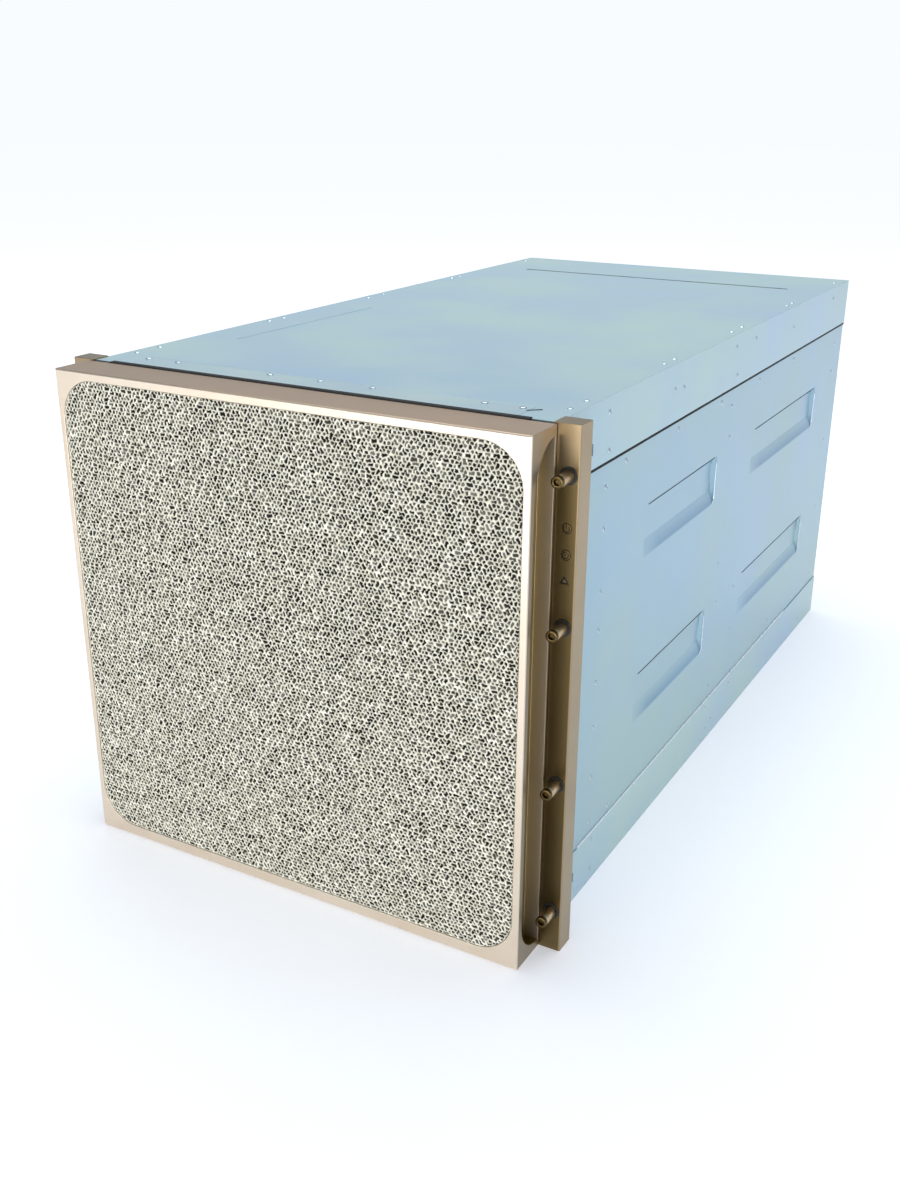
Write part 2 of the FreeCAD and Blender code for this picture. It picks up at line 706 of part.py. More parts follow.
def drive_places():
    """Centres (x, z) of the drive carriers."""
    rows = [DRIVE_FIRST_Z + row * DRIVE_PITCH_Z for row in range(DRIVE_ROWS)]
    return [(x, z) for z in rows for x in spread(DRIVE_COLUMNS, DRIVE_PITCH_X)]


def front_cage():
    """Front wall between the side panels: crossed fan guards, drive windows and tongue slots."""
    wall = box(-X_IN, X_IN, Y_CAGE, Y_CAGE_BACK, SHEET, Z_ROOF)
    returns = [box(X_IN - CAGE_SHEET, X_IN, Y_CAGE, Y_CAGE + CAGE_RETURN, SHEET, Z_ROOF)]
    returns.append(mirrored(returns[0]))
    cuts = []
    quarter = FAN_BORE_RADIUS - FAN_GUARD_BAR / 2
    for x, z in fan_places():
        for dx in spread(2, quarter + FAN_GUARD_BAR):
            for dz in spread(2, quarter + FAN_GUARD_BAR):
                cuts.append(vent(x + dx, z + dz, quarter, quarter, Y_CAGE))
    w = DRIVE_WIDTH / 2 + SEAT_GAP
    h = DRIVE_HEIGHT / 2 + SEAT_GAP
    for x, z in drive_places():
        cuts.append(box(x - w, x + w, Y_CAGE - OVERCUT, Y_CAGE_BACK + OVERCUT, z - h, z + h))
    for x, z in tongue_places():
        cuts.append(vent(x, z, TONGUE_WIDTH + 2 * SEAT_GAP, TONGUE_HEIGHT + 2 * SEAT_GAP, Y_CAGE))
    return joined([wall] + returns).cut(cuts)


def drive_carriers():
    """Drives in carriers: a face with a pull groove, and a slimmer body behind it."""
    carriers = []
    w = DRIVE_WIDTH / 2
    h = DRIVE_HEIGHT / 2
    inset = DRIVE_BODY_INSET
    for x, z in drive_places():
        face = box(x - w, x + w, Y_DRIVE, Y_DRIVE + DRIVE_FACE, z - h, z + h)
        body = box(
            x - w + inset, x + w - inset, Y_DRIVE, Y_DRIVE + DRIVE_LENGTH, z - h + inset, z + h - inset
        )
        groove = box(x - w / 2, x + w - inset, Y_DRIVE - OVERCUT, Y_DRIVE + DRIVE_GROOVE, z, z + h - inset)
        carriers.append(joined([face, body]).cut(groove))
    return Part.makeCompound(carriers)


def fan_housing(x, z):
    """Square fan frame with a round bore, a spider across its back and a fixed shaft."""
    half = FAN_SIZE / 2
    frame = box(x - half, x + half, Y_CAGE_BACK, Y_FAN_BACK, z - half, z + half)
    bore = around(FAN_BORE_RADIUS, FAN_SIDES)
    frame = frame.cut(bar_y(x, z, bore, Y_CAGE_BACK - OVERCUT, Y_FAN_BACK + OVERCUT, FAN_SIDES))
    pieces = [frame, bar_y(x, z, FAN_MOTOR_RADIUS, Y_SPIDER, Y_FAN_BACK, PIN_SIDES)]
    y_shaft = Y_HUB_BACK - FAN_SHAFT_LENGTH
    pieces.append(bar_y(x, z, FAN_SHAFT_RADIUS, y_shaft, Y_FAN_BACK, PIN_SIDES))
    reach = FAN_BORE_RADIUS + OVERCUT
    strut = box(x, x + reach, Y_SPIDER, Y_FAN_BACK, z - FAN_STRUT / 2, z + FAN_STRUT / 2)
    for i in range(FAN_STRUTS):
        turned = strut.copy()
        turned.rotate(V(x, 0, z), V(0, 1, 0), i * 360 / FAN_STRUTS)
        pieces.append(turned)
    return joined(pieces)


def fan_housings():
    """All fan frames, which stand against the back of the front cage."""
    return Part.makeCompound([fan_housing(x, z) for x, z in fan_places()])


def fan_blade(x, z):
    """One cambered, pitched blade that points up from the hub."""
    y_mid = Y_HUB_BACK - FAN_HUB_LENGTH / 2
    half = BLADE_CHORD / 2
    z0 = z + BLADE_ROOT_RADIUS
    z1 = z + math.sqrt(FAN_TIP_RADIUS ** 2 - half ** 2)
    back = []
    for i in range(BLADE_FACETS + 1):
        f = 2 * i / BLADE_FACETS - 1
        y = y_mid + f * BLADE_RISE / 2 - BLADE_CAMBER * (1 - f * f)
        back.append(V(x + f * half, y, z0))
    front = [p - V(0, BLADE_THICKNESS, 0) for p in reversed(back)]
    return prism(back + front, V(0, 0, z1 - z0))


def fan_rotor(x, z):
    """Hub with cambered blades, bored for the fixed shaft."""
    y0 = Y_HUB_BACK - FAN_HUB_LENGTH
    blade = fan_blade(x, z)
    pieces = [bar_y(x, z, FAN_HUB_RADIUS, y0, Y_HUB_BACK, 2 * BLADES)]
    for i in range(BLADES):
        turned = blade.copy()
        turned.rotate(V(x, 0, z), V(0, 1, 0), i * 360 / BLADES)
        pieces.append(turned)
    y_bore = Y_HUB_BACK - FAN_SHAFT_LENGTH - FAN_AXIAL_GAP
    bore = rod_y(x, z, FAN_SHAFT_RADIUS + SHAFT_GAP, y_bore, Y_HUB_BACK + OVERCUT)
    return joined(pieces).cut(bore)


# Shelves, midplane and trays

def shelf(y0, z):
    """Shelf between the side panels, with a flange up each side."""
    y1 = Y_REAR - SHELF_REAR_GAP
    plate = box(-X_IN, X_IN, y0, y1, z, z + SHELF)
    flange = box(X_IN - SHEET, X_IN, y0, y1, z, z + SHELF + SHELF_FLANGE)
    return joined([plate, flange, mirrored(flange)])


def bay_shelves():
    """Shelf over the power supplies and shelf under the motherboard tray."""
    return Part.makeCompound([shelf(Y_SHELF, Z_LOW_SHELF), shelf(Y_TRAY, Z_HIGH_SHELF)])


def midplane_board():
    """Upright board on the lower shelf, with windows for the cooling air."""
    half = X_IN - MIDPLANE_SIDE_GAP
    z0 = Z_LOW_SHELF + SHELF
    board = box(-half, half, Y_MIDPLANE, Y_MIDPLANE + MIDPLANE, z0, Z_MB_TOP)
    pitch = (Z_MB_TOP - z0) / MIDPLANE_VENT_ROWS
    cuts = []
    for x in spread(VENT_COLUMNS, VENT_PITCH):
        for row in range(MIDPLANE_VENT_ROWS):
            z = z0 + (row + 0.5) * pitch
            cuts.append(vent(x, z, VENT, VENT, Y_MIDPLANE))
    return board.cut(cuts)


def vent(x, z, width, height, y):
    """Cutter for an air window through a sheet near the plane y."""
    reach = 2 * MIDPLANE
    return box(x - width / 2, x + width / 2, y - reach, y + reach, z - height / 2, z + height / 2)


def tray_shell(width, z0, z_top, wall, rib):
    """Tray: floor with ribs under its board, low side walls and a tall rear wall."""
    half = width / 2
    pieces = [box(-half, half, Y_TRAY, Y_WALL, z0, z0 + TRAY_SHEET)]
    side = box(half - TRAY_SHEET, half, Y_TRAY, Y_WALL, z0, z0 + wall)
    pieces += [side, mirrored(side)]
    pieces.append(box(-half, half, Y_WALL - TRAY_SHEET, Y_WALL, z0, z_top))
    for x in spread(3, RIB_SPACING):
        pieces.append(box(x - RIB_WIDTH / 2, x + RIB_WIDTH / 2, Y_TRAY, Y_WALL, z0, z0 + TRAY_SHEET + rib))
    return pieces


def lever_pin_x(width):
    """Distance of a tray lever's pin from the middle."""
    return width / 2 - LEVER_PIN_FROM_EDGE


def lever_lugs(width, z):
    """Two bored lugs on the right of a tray's rear wall, above and below its lever."""
    x = lever_pin_x(width)
    inner = LEVER_HEIGHT / 2 + SEAT_GAP
    lugs = []
    for z0 in (z + inner, z - inner - LEVER_LUG):
        lug = box(
            x - LEVER_LUG_WIDTH / 2,
            x + LEVER_LUG_WIDTH / 2,
            Y_WALL - TRAY_SHEET,
            Y_PIN + LEVER_LUG_BEYOND_PIN,
            z0,
            z0 + LEVER_LUG,
        )
        bore = around(LEVER_PIN_RADIUS + PIN_GAP, PIN_SIDES)
        lugs.append(lug.cut(bar_z(x, Y_PIN, bore, z0 - OVERCUT, z0 + LEVER_LUG + OVERCUT, PIN_SIDES)))
    return lugs + [mirrored(lug) for lug in lugs]


def right_lever(width, z):
    """Swinging lever on its pin, with a tab turned outwards at the free end."""
    x = lever_pin_x(width)
    low = z - LEVER_HEIGHT / 2
    high = z + LEVER_HEIGHT / 2
    reach = LEVER_HEIGHT / 2 + SEAT_GAP + LEVER_LUG
    half = LEVER_THICKNESS / 2
    x_tab = x - LEVER_LENGTH
    return joined(
        [
            box(x_tab, x, Y_PIN - half, Y_PIN + half, low, high),
            rod_z(x, Y_PIN, LEVER_BOSS_RADIUS, low, high),
            box(x_tab - LEVER_THICKNESS, x_tab, Y_PIN - half, Y_PIN + LEVER_TAB, low, high),
            bar_z(x, Y_PIN, LEVER_PIN_RADIUS, z - reach, z + reach, PIN_SIDES),
        ]
    )


def gpu_tray():
    """Accelerator tray, with two rows of air windows in its rear wall."""
    pieces = tray_shell(GPU_TRAY_WIDTH, Z_GPU_TRAY, Z_GPU_TOP, GPU_TRAY_WALL, GPU_RIB)
    pieces += lever_lugs(GPU_TRAY_WIDTH, Z_GPU_LEVER)
    cuts = []
    for x in spread(VENT_COLUMNS, VENT_PITCH):
        for side in (-1, 1):
            z = Z_GPU_LEVER + side * (VENT_ROW_GAP + VENT) / 2
            cuts.append(vent(x, z, VENT, VENT, Y_WALL))
    return joined(pieces).cut(cuts)


def mb_tray():
    """Motherboard tray, with windows for the network cards and for air in its rear wall."""
    pieces = tray_shell(MB_TRAY_WIDTH, Z_MB_TRAY, Z_MB_TOP, MB_TRAY_WALL, MB_RIB)
    pieces += lever_lugs(MB_TRAY_WIDTH, Z_MB_LEVER)
    cuts = []
    for x, width, height in card_places():
        cuts.append(vent(x, Z_CARD + height / 2, width + 2 * SEAT_GAP, height + 2 * SEAT_GAP, Y_WALL))
    for x in (-MB_VENT_X, MB_VENT_X):
        cuts.append(vent(x, Z_CARD + MB_VENT_HEIGHT / 2, MB_VENT_WIDTH, MB_VENT_HEIGHT, Y_WALL))
    return joined(pieces).cut(cuts)


def card_places():
    """Centre x, width and height of each network card."""
    twin = [(x, TWIN_CARD_WIDTH, TWIN_CARD_HEIGHT) for x in (-TWIN_CARD_X, TWIN_CARD_X)]
    slim = [(x, SLIM_CARD_WIDTH, SLIM_CARD_HEIGHT) for x in (-SLIM_CARD_X, SLIM_CARD_X)]
    return twin + slim


def network_cards():
    """Cards that stand in the rear wall: two with twin ports, two with one upright port."""
    y1 = Y_WALL + CARD_PROUD
    cards = []
    for x, width, height in card_places():
        card = box(x - width / 2, x + width / 2, y1 - CARD_DEPTH, y1, Z_CARD, Z_CARD + height)
        z = Z_CARD + height / 2
        ports = [(x, SLIM_PORT_WIDTH, SLIM_PORT_HEIGHT)]
        if width == TWIN_CARD_WIDTH:
            ports = [(x + dx, TWIN_PORT_WIDTH, TWIN_PORT_HEIGHT) for dx in spread(2, TWIN_PORT_PITCH)]
        for px, w, h in ports:
            card = card.cut(box(px - w / 2, px + w / 2, y1 - PORT_DEPTH, y1 + OVERCUT, z - h / 2, z + h / 2))
        cards.append(card)
    return Part.makeCompound(cards)


# Boards, heat sinks and memory

def tray_board(width, front, rear, z):
    """Circuit board on a tray's ribs."""
    half = width / 2 - BOARD_SIDE_GAP
    return box(-half, half, Y_TRAY + front, Y_WALL - rear, z, z + PCB)


def heat_sink(x, y, z, width, length, height, base, fins):
    """Finned heat sink: one comb profile, drawn out along the air flow."""
    points = [V(x - width / 2, y - length / 2, z), V(x + width / 2, y - length / 2, z)]
    step = (width - FIN_THICKNESS) / (fins - 1)
    for i in reversed(range(fins)):
        left = x - width / 2 + i * step
        right = left + FIN_THICKNESS
        if i < fins - 1:
            points.append(V(right, y - length / 2, z + base))
        points.append(V(right, y - length / 2, z + height))
        points.append(V(left, y - length / 2, z + height))
        if i > 0:
            points.append(V(left, y - length / 2, z + base))
    return prism(points, V(0, length, 0))


def gpu_heat_sinks():
    """Eight tall heat sinks in two rows on the accelerator board."""
    y_mid = (Y_TRAY + GPU_BOARD_FRONT + Y_WALL - GPU_BOARD_REAR) / 2
    sinks = []
    for x in spread(VENT_COLUMNS, VENT_PITCH):
        for dy in spread(2, GPU_SINK_LENGTH + GPU_SINK_ROW_GAP):
            sinks.append(
                heat_sink(
                    x,
                    y_mid + dy,
                    Z_GPU_BOARD + PCB,
                    GPU_SINK_WIDTH,
                    GPU_SINK_LENGTH,
                    GPU_SINK_HEIGHT,
                    GPU_SINK_BASE,
                    GPU_FINS,
                )
            )
    return Part.makeCompound(sinks)


def processor_y():
    """Middle of the processors along the motherboard."""
    return (Y_TRAY + MB_BOARD_FRONT + Y_WALL - MB_BOARD_REAR) / 2


def cpu_heat_sinks():
    """Two processor heat sinks side by side."""
    sinks = []
    for x in spread(2, CPU_SPACING):
        sinks.append(
            heat_sink(
                x,
                processor_y(),
                Z_MOTHERBOARD + PCB,
                CPU_SINK_WIDTH,
                CPU_SINK_LENGTH,
                CPU_SINK_HEIGHT,
                CPU_SINK_BASE,
                CPU_FINS,
            )
        )
    return Part.makeCompound(sinks)


def memory_modules():
    """Rows of memory modules on both sides of each processor."""
    y0 = processor_y() - MEMORY_LENGTH / 2
    z0 = Z_MOTHERBOARD + PCB
    modules = []
    for x in spread(2, CPU_SPACING):
        for side in (-1, 1):
            for i in range(MEMORY_PER_SIDE):
                mid = x + side * (CPU_SINK_WIDTH / 2 + MEMORY_FROM_SINK + i * MEMORY_PITCH)
                half = MEMORY_THICKNESS / 2
                modules.append(
                    box(mid - half, mid + half, y0, y0 + MEMORY_LENGTH, z0, z0 + MEMORY_HEIGHT)
                )
    return Part.makeCompound(modules)


# Power supplies

def psu_places():
    """Centre x of each power supply."""
    return spread(POWER_SUPPLIES, PSU_WIDTH + PSU_SPACING)


def latch_x(x):
    """Middle of the latch's plate on the power supply centred at x."""
    return x + PSU_WIDTH / 2 - LATCH_SIDE_GAP - LATCH_THICKNESS / 2


def power_supply(x):
    """Power supply: block with an inlet socket, a pull handle and a notch and bore for its latch."""
    half = PSU_WIDTH / 2
    block = box(x - half, x + half, Y_WALL - PSU_LENGTH, Y_WALL, Z_PSU, Z_PSU + PSU_HEIGHT)
    inlet = box(
        x + INLET_X - INLET_WIDTH / 2,
        x + INLET_X + INLET_WIDTH / 2,
        Y_WALL - INLET_DEPTH,
        Y_WALL + OVERCUT,
        Z_PSU_MID - INLET_HEIGHT / 2,
        Z_PSU_MID + INLET_HEIGHT / 2,
    )
    y_pin = Y_WALL - LATCH_PIN_IN
    high = LATCH_HEIGHT / 2 + SEAT_GAP
    notch = box(
        latch_x(x) - LATCH_THICKNESS / 2 - LATCH_SWING_ROOM,
        x + half + OVERCUT,
        y_pin - LATCH_THICKNESS / 2 - SEAT_GAP,
        Y_WALL + OVERCUT,
        Z_PSU_MID - high,
        Z_PSU_MID + high,
    )
    z_hold = Z_PSU_MID - high - LATCH_PIN_HOLD - SEAT_GAP
    bore = around(LATCH_PIN_RADIUS + PIN_GAP, PIN_SIDES)
    pin_bore = bar_z(latch_x(x), y_pin, bore, z_hold, Z_PSU_MID, PIN_SIDES)
    body = block.cut([inlet, notch, pin_bore])
    hx = x + HANDLE_X
    reach = Y_WALL + HANDLE_REACH
    low = Z_PSU_MID - HANDLE_HEIGHT / 2
    top = Z_PSU_MID + HANDLE_HEIGHT / 2
    loop = box(hx - HANDLE_WIDTH / 2, hx + HANDLE_WIDTH / 2, Y_WALL, reach, low, top)
    gap = HANDLE_WIDTH / 2 - HANDLE_BAR
    finger = box(hx - gap, hx + gap, Y_WALL - OVERCUT, reach - HANDLE_BAR, low - OVERCUT, top + OVERCUT)
    return joined([body, loop.cut(finger)])


def power_supply_latch(x):
    """Release latch: an upright plate with a round root on a pin, which sticks out past the rear face."""
    y_pin = Y_WALL - LATCH_PIN_IN
    mid = latch_x(x)
    half = LATCH_THICKNESS / 2
    low = Z_PSU_MID - LATCH_HEIGHT / 2
    high = Z_PSU_MID + LATCH_HEIGHT / 2
    plate = box(mid - half, mid + half, y_pin, Y_WALL + LATCH_REACH, low, high)
    root = rod_z(mid, y_pin, half, low, high)
    pin = bar_z(mid, y_pin, LATCH_PIN_RADIUS, low - SEAT_GAP - LATCH_PIN_HOLD, low, PIN_SIDES)
    return joined([plate, root, pin])


# Writing the pieces

def save(name, shape):
    """Write one piece, or one group of like pieces, to its own file."""
    shape.exportStep(os.path.join("parts", name + ".step"))


def save_pair(name, right):
    """Write a right-hand piece and its mirror image."""
    save("right_" + name, right)
    save("left_" + name, mirrored(right))


def main():
    os.makedirs("parts", exist_ok=True)
    save("bezel_frame", bezel_frame())
    save("bezel_foam", bezel_foam())
    save("bezel_tongues", bezel_tongues())
    save("right_rack_ear", right_rack_ear())
    save("left_rack_ear", mirrored(plain_ear()))
    save("fault_lens", fault_lens())
    save("indicator_board", indicator_board())
    save("power_button", button(Z_POWER))
    save("id_button", button(Z_ID))
    screw_places = [(x, z) for x in (-X_SCREW, X_SCREW) for z in SCREW_HEIGHTS]
    for i, (x, z) in enumerate(screw_places):
        save(f"thumb_screw_{i + 1}", thumb_screw(x, z))
    save("chassis_base", chassis_base())
    save("top_cover", top_cover())
    save("front_top_rail", front_top_rail())
    save("edge_trim", edge_trim())
    save_pair("side_panel", right_side_panel())
    save("front_cage", front_cage())
    save("drive_carriers", drive_carriers())
    save("fan_housings", fan_housings())
    for i, (x, z) in enumerate(fan_places()):
        save(f"fan_rotor_{i + 1}", fan_rotor(x, z))
    save("bay_shelves", bay_shelves())
    save("midplane_board", midplane_board())
    save("gpu_tray", gpu_tray())
    save("gpu_board", tray_board(GPU_TRAY_WIDTH, GPU_BOARD_FRONT, GPU_BOARD_REAR, Z_GPU_BOARD))
    save("gpu_heat_sinks", gpu_heat_sinks())
    save_pair("gpu_lever", right_lever(GPU_TRAY_WIDTH, Z_GPU_LEVER))
    save("mb_tray", mb_tray())
    save("motherboard", tray_board(MB_TRAY_WIDTH, MB_BOARD_FRONT, MB_BOARD_REAR, Z_MOTHERBOARD))
    save("cpu_heat_sinks", cpu_heat_sinks())
    save("memory_modules", memory_modules())
    save("network_cards", network_cards())
    save_pair("mb_lever", right_lever(MB_TRAY_WIDTH, Z_MB_LEVER))
    for i, x in enumerate(psu_places()):
        save(f"power_supply_{i + 1}", power_supply(x))
        save(f"power_supply_latch_{i + 1}", power_supply_latch(x))


main()
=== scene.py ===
"""Looks of a ten-unit rack server for accelerators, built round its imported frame.

Meshes are shaped in millimetres in the frame's own axes: +Z is up, the front faces -Y and +X is
on the right of someone facing the front. A shape is scaled to metres when it becomes a piece.
"""

import json
import logging
import math
import random
from collections.abc import Sequence
from dataclasses import dataclass, replace
from enum import Enum

import bmesh
import bpy
from mathutils import Matrix, Vector

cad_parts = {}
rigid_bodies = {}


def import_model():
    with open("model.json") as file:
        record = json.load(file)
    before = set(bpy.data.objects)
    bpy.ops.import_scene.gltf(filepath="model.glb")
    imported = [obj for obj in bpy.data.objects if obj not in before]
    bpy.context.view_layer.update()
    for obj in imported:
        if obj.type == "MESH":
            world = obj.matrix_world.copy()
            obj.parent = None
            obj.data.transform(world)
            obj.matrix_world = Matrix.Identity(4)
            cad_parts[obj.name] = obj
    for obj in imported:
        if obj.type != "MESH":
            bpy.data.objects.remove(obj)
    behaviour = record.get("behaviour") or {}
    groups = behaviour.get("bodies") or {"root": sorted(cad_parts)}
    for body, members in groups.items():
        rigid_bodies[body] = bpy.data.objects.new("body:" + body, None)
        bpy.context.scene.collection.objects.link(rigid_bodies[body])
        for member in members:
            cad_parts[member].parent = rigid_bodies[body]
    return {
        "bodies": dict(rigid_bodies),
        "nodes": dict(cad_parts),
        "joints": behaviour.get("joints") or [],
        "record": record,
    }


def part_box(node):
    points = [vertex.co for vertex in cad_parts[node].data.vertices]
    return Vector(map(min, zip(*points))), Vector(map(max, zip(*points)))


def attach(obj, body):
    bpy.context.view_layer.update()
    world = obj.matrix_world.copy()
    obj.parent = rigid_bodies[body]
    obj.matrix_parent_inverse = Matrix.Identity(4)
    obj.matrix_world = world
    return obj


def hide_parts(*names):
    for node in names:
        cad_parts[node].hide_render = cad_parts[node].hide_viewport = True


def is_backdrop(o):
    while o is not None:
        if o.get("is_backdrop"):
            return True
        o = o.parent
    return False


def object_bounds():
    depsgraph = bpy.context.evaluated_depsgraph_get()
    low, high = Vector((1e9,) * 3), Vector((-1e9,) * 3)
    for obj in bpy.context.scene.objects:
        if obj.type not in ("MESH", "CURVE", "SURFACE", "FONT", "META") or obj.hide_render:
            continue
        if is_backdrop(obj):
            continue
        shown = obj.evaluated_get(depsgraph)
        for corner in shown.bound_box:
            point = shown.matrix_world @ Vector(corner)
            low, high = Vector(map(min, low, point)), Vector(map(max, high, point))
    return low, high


LOG = logging.getLogger("server_looks")
MM = 0.001
FULL_TURN = 2 * math.pi
FRONT = Vector((0, -1, 0))
REAR = Vector((0, 1, 0))
UP = Vector((0, 0, 1))
RIGHT = Vector((1, 0, 0))
LEFT = Vector((-1, 0, 0))
Outline = Sequence[tuple[float, float]]

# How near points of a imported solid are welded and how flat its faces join, and a spun form's weld.
NODE_WELD = 0.002
NODE_FLAT = math.radians(0.5)
SPIN_WELD = 1e-4
# Faces round a wire, and degrees that one step of a flat arc covers.
WIRE_SIDES = 8
ARC_STEP = 12
# Values of a slow noise between which gloss and tint drift, and how many octaves the noises have.
GLOSS_SPAN = (0.3, 0.7)
TINT_SPAN = (0.35, 0.65)
CLOUD_DETAIL = 3.0
GRIT_DETAIL = 2.0
COAT_ROUGHNESS = 0.35
# Rounding of a heat sink's base plate, and how deep its fins are set into it.
SINK_SOFT = 0.8
FIN_ROOT = 0.5
# Rounding of small packages on a board, and of the trays' levers.
PACKAGE_SOFT = 0.3
LEVER_EDGE = 0.7
# Punched screens of the trays: thickness, rounding of the outline, pitch and share of the holes.
SCREEN_SHEET = 0.8
SCREEN_CORNER = 0.5
SCREEN_PITCH = 6.0
SCREEN_SHARE = 0.8


def linear(code: str) -> tuple[float, float, float, float]:
    """Turn an sRGB hex colour into linear values.

    Args:
        code: Six hex digits.

    Returns:
        Red, green, blue and an alpha of one.
    """
    parts = [int(code[i : i + 2], 16) / 255 for i in (0, 2, 4)]
    shares = [p / 12.92 if p <= 0.04045 else ((p + 0.055) / 1.055) ** 2.4 for p in parts]
    return (*shares, 1.0)


def add_node(
    tree: bpy.types.NodeTree, kind: str, settings: dict | None = None, inputs: dict | None = None
) -> bpy.types.Node:
    """Add a node, with its settings and with a link or a value for each named input.

    Args:
        tree: Node tree that gets the node.
        kind: Blender's name of the node type.
        settings: Properties to set on the node.
        inputs: Sockets by name or number, each with a socket to link from or a plain value.

    Returns:
        The new node.
    """
    node = tree.nodes.new(kind)
    for name, value in (settings or {}).items():
        setattr(node, name, value)
    for name, value in (inputs or {}).items():
        if isinstance(value, bpy.types.NodeSocket):
            tree.links.new(value, node.inputs[name])
        else:
            node.inputs[name].default_value = value
    return node


def ramp(
    tree: bpy.types.NodeTree,
    value: bpy.types.NodeSocket,
    span: tuple,
    result: tuple = (0.0, 1.0),
    soft: bool = False,
) -> bpy.types.NodeSocket:
    """Turn a span of values into another one, held at its ends.

    Args:
        tree: The node tree.
        value: Socket of the value.
        span: Values at the start and the end.
        result: What comes out there, each a number or a socket.
        soft: True eases the ends.

    Returns:
        The socket of the result.
    """
    inputs = {"Value": value, "From Min": span[0], "From Max": span[1]}
    inputs |= {"To Min": result[0], "To Max": result[1]}
    kind = "SMOOTHSTEP" if soft else "LINEAR"
    node = add_node(tree, "ShaderNodeMapRange", {"interpolation_type": kind}, inputs)
    return node.outputs["Result"]


def mix(
    tree: bpy.types.NodeTree, share: bpy.types.NodeSocket, first: object, second: object
) -> bpy.types.NodeSocket:
    """Mix two colours.

    Args:
        tree: The node tree.
        share: Socket of the second colour's share.
        first: A colour, or the socket of one.
        second: A colour, or the socket of one.

    Returns:
        The socket of the mixed colour.
    """
    inputs = {0: share, 6: first, 7: second}
    return add_node(tree, "ShaderNodeMix", {"data_type": "RGBA"}, inputs).outputs[2]


class Grain(Enum):
    """Which way the fine relief of a finish runs, as a stretch of its pattern."""

    EVEN = (1.0, 1.0, 1.0)
    ALONG_DEPTH = (1.0, 0.04, 1.0)
    ALONG_HEIGHT = (1.0, 1.0, 0.04)


@dataclass(frozen=True)
class Finish:
    """A surface: two colours that drift into each other, a fine relief and a gloss.

    Sizes are in millimetres. The relief of blasted, moulded or rolled surfaces is finer than a
    pixel of the render, so grain sizes are several times the real ones in order to show.
    """

    name: str
    slot: str
    colour: str
    tint: str
    drift: float
    tint_share: float = 0.6
    grain: Grain = Grain.EVEN
    grain_size: float = 0.8
    relief: float = 0.02
    metallic: float = 0.0
    roughness: float = 0.5
    gloss_drift: float = 0.06
    coat: float = 0.0
    specular: float = 0.5

    def material(self) -> bpy.types.Material:
        """The node material of this finish, made the first time it is asked for.

        Returns:
            The material.
        """
        found = bpy.data.materials.get(self.name)
        if found is not None:
            return found
        material = bpy.data.materials.new(self.name)
        material.use_nodes = True
        tree = material.node_tree
        shader = tree.nodes["Principled BSDF"]
        shader.inputs["Metallic"].default_value = self.metallic
        shader.inputs["Specular IOR Level"].default_value = self.specular
        shader.inputs["Coat Weight"].default_value = self.coat
        shader.inputs["Coat Roughness"].default_value = COAT_ROUGHNESS
        place = add_node(tree, "ShaderNodeTexCoord").outputs["Object"]
        cloud = add_node(
            tree,
            "ShaderNodeTexNoise",
            inputs={"Vector": place, "Scale": 1 / (self.drift * MM), "Detail": CLOUD_DETAIL},
        ).outputs["Fac"]
        tree.links.new(self.paint(tree, place, cloud), shader.inputs["Base Color"])
        drift = self.gloss_drift
        gloss = ramp(tree, cloud, GLOSS_SPAN, (self.roughness - drift, self.roughness + drift))
        tree.links.new(gloss, shader.inputs["Roughness"])
        stretched = add_node(
            tree, "ShaderNodeMapping", inputs={"Vector": place, "Scale": self.grain.value}
        )
        grit = add_node(
            tree,
            "ShaderNodeTexNoise",
            inputs={
                "Vector": stretched.outputs["Vector"],
                "Scale": 1 / (self.grain_size * MM),
                "Detail": GRIT_DETAIL,
            },
        )
        bump = add_node(
            tree,
            "ShaderNodeBump",
            inputs={"Height": grit.outputs["Fac"], "Strength": 1.0, "Distance": self.relief * MM},
        )
        tree.links.new(bump.outputs["Normal"], shader.inputs["Normal"])
        return material

    def paint(
        self, tree: bpy.types.NodeTree, place: bpy.types.NodeSocket, cloud: bpy.types.NodeSocket
    ) -> bpy.types.NodeSocket:
        """Colour of the surface.

        Args:
            tree: The material's nodes.
            place: Object coordinates.
            cloud: Slow noise of the drift size.

        Returns:
            The colour socket.
        """
        share = ramp(tree, cloud, TINT_SPAN, (0.0, self.tint_share))
        return mix(tree, share, linear(self.colour), linear(self.tint))


@dataclass(frozen=True)
class Zone:
    """A box, mirrored across the middle, with soft sides where a finish takes a painted shade.

    Corners and the width of the soft sides are in millimetres: across, along the depth and up.
    """

    shade: str
    low: tuple[float, float, float]
    high: tuple[float, float, float]
    blend: tuple[float, float, float]

    def share(self, tree: bpy.types.NodeTree, axes: tuple) -> bpy.types.NodeSocket:
        """How far a point lies inside the box.

        Args:
            tree: The material's nodes.
            axes: Distance from the middle, depth and height of the point.

        Returns:
            The socket of a share from none to one.
        """
        inside = 1.0
        for axis, low, high, blend in zip(axes, self.low, self.high, self.blend):
            for edge, half in ((low, blend / 2), (high, -blend / 2)):
                span = ((edge - half) * MM, (edge + half) * MM)
                inside = ramp(tree, axis, span, (0.0, inside))
        return inside


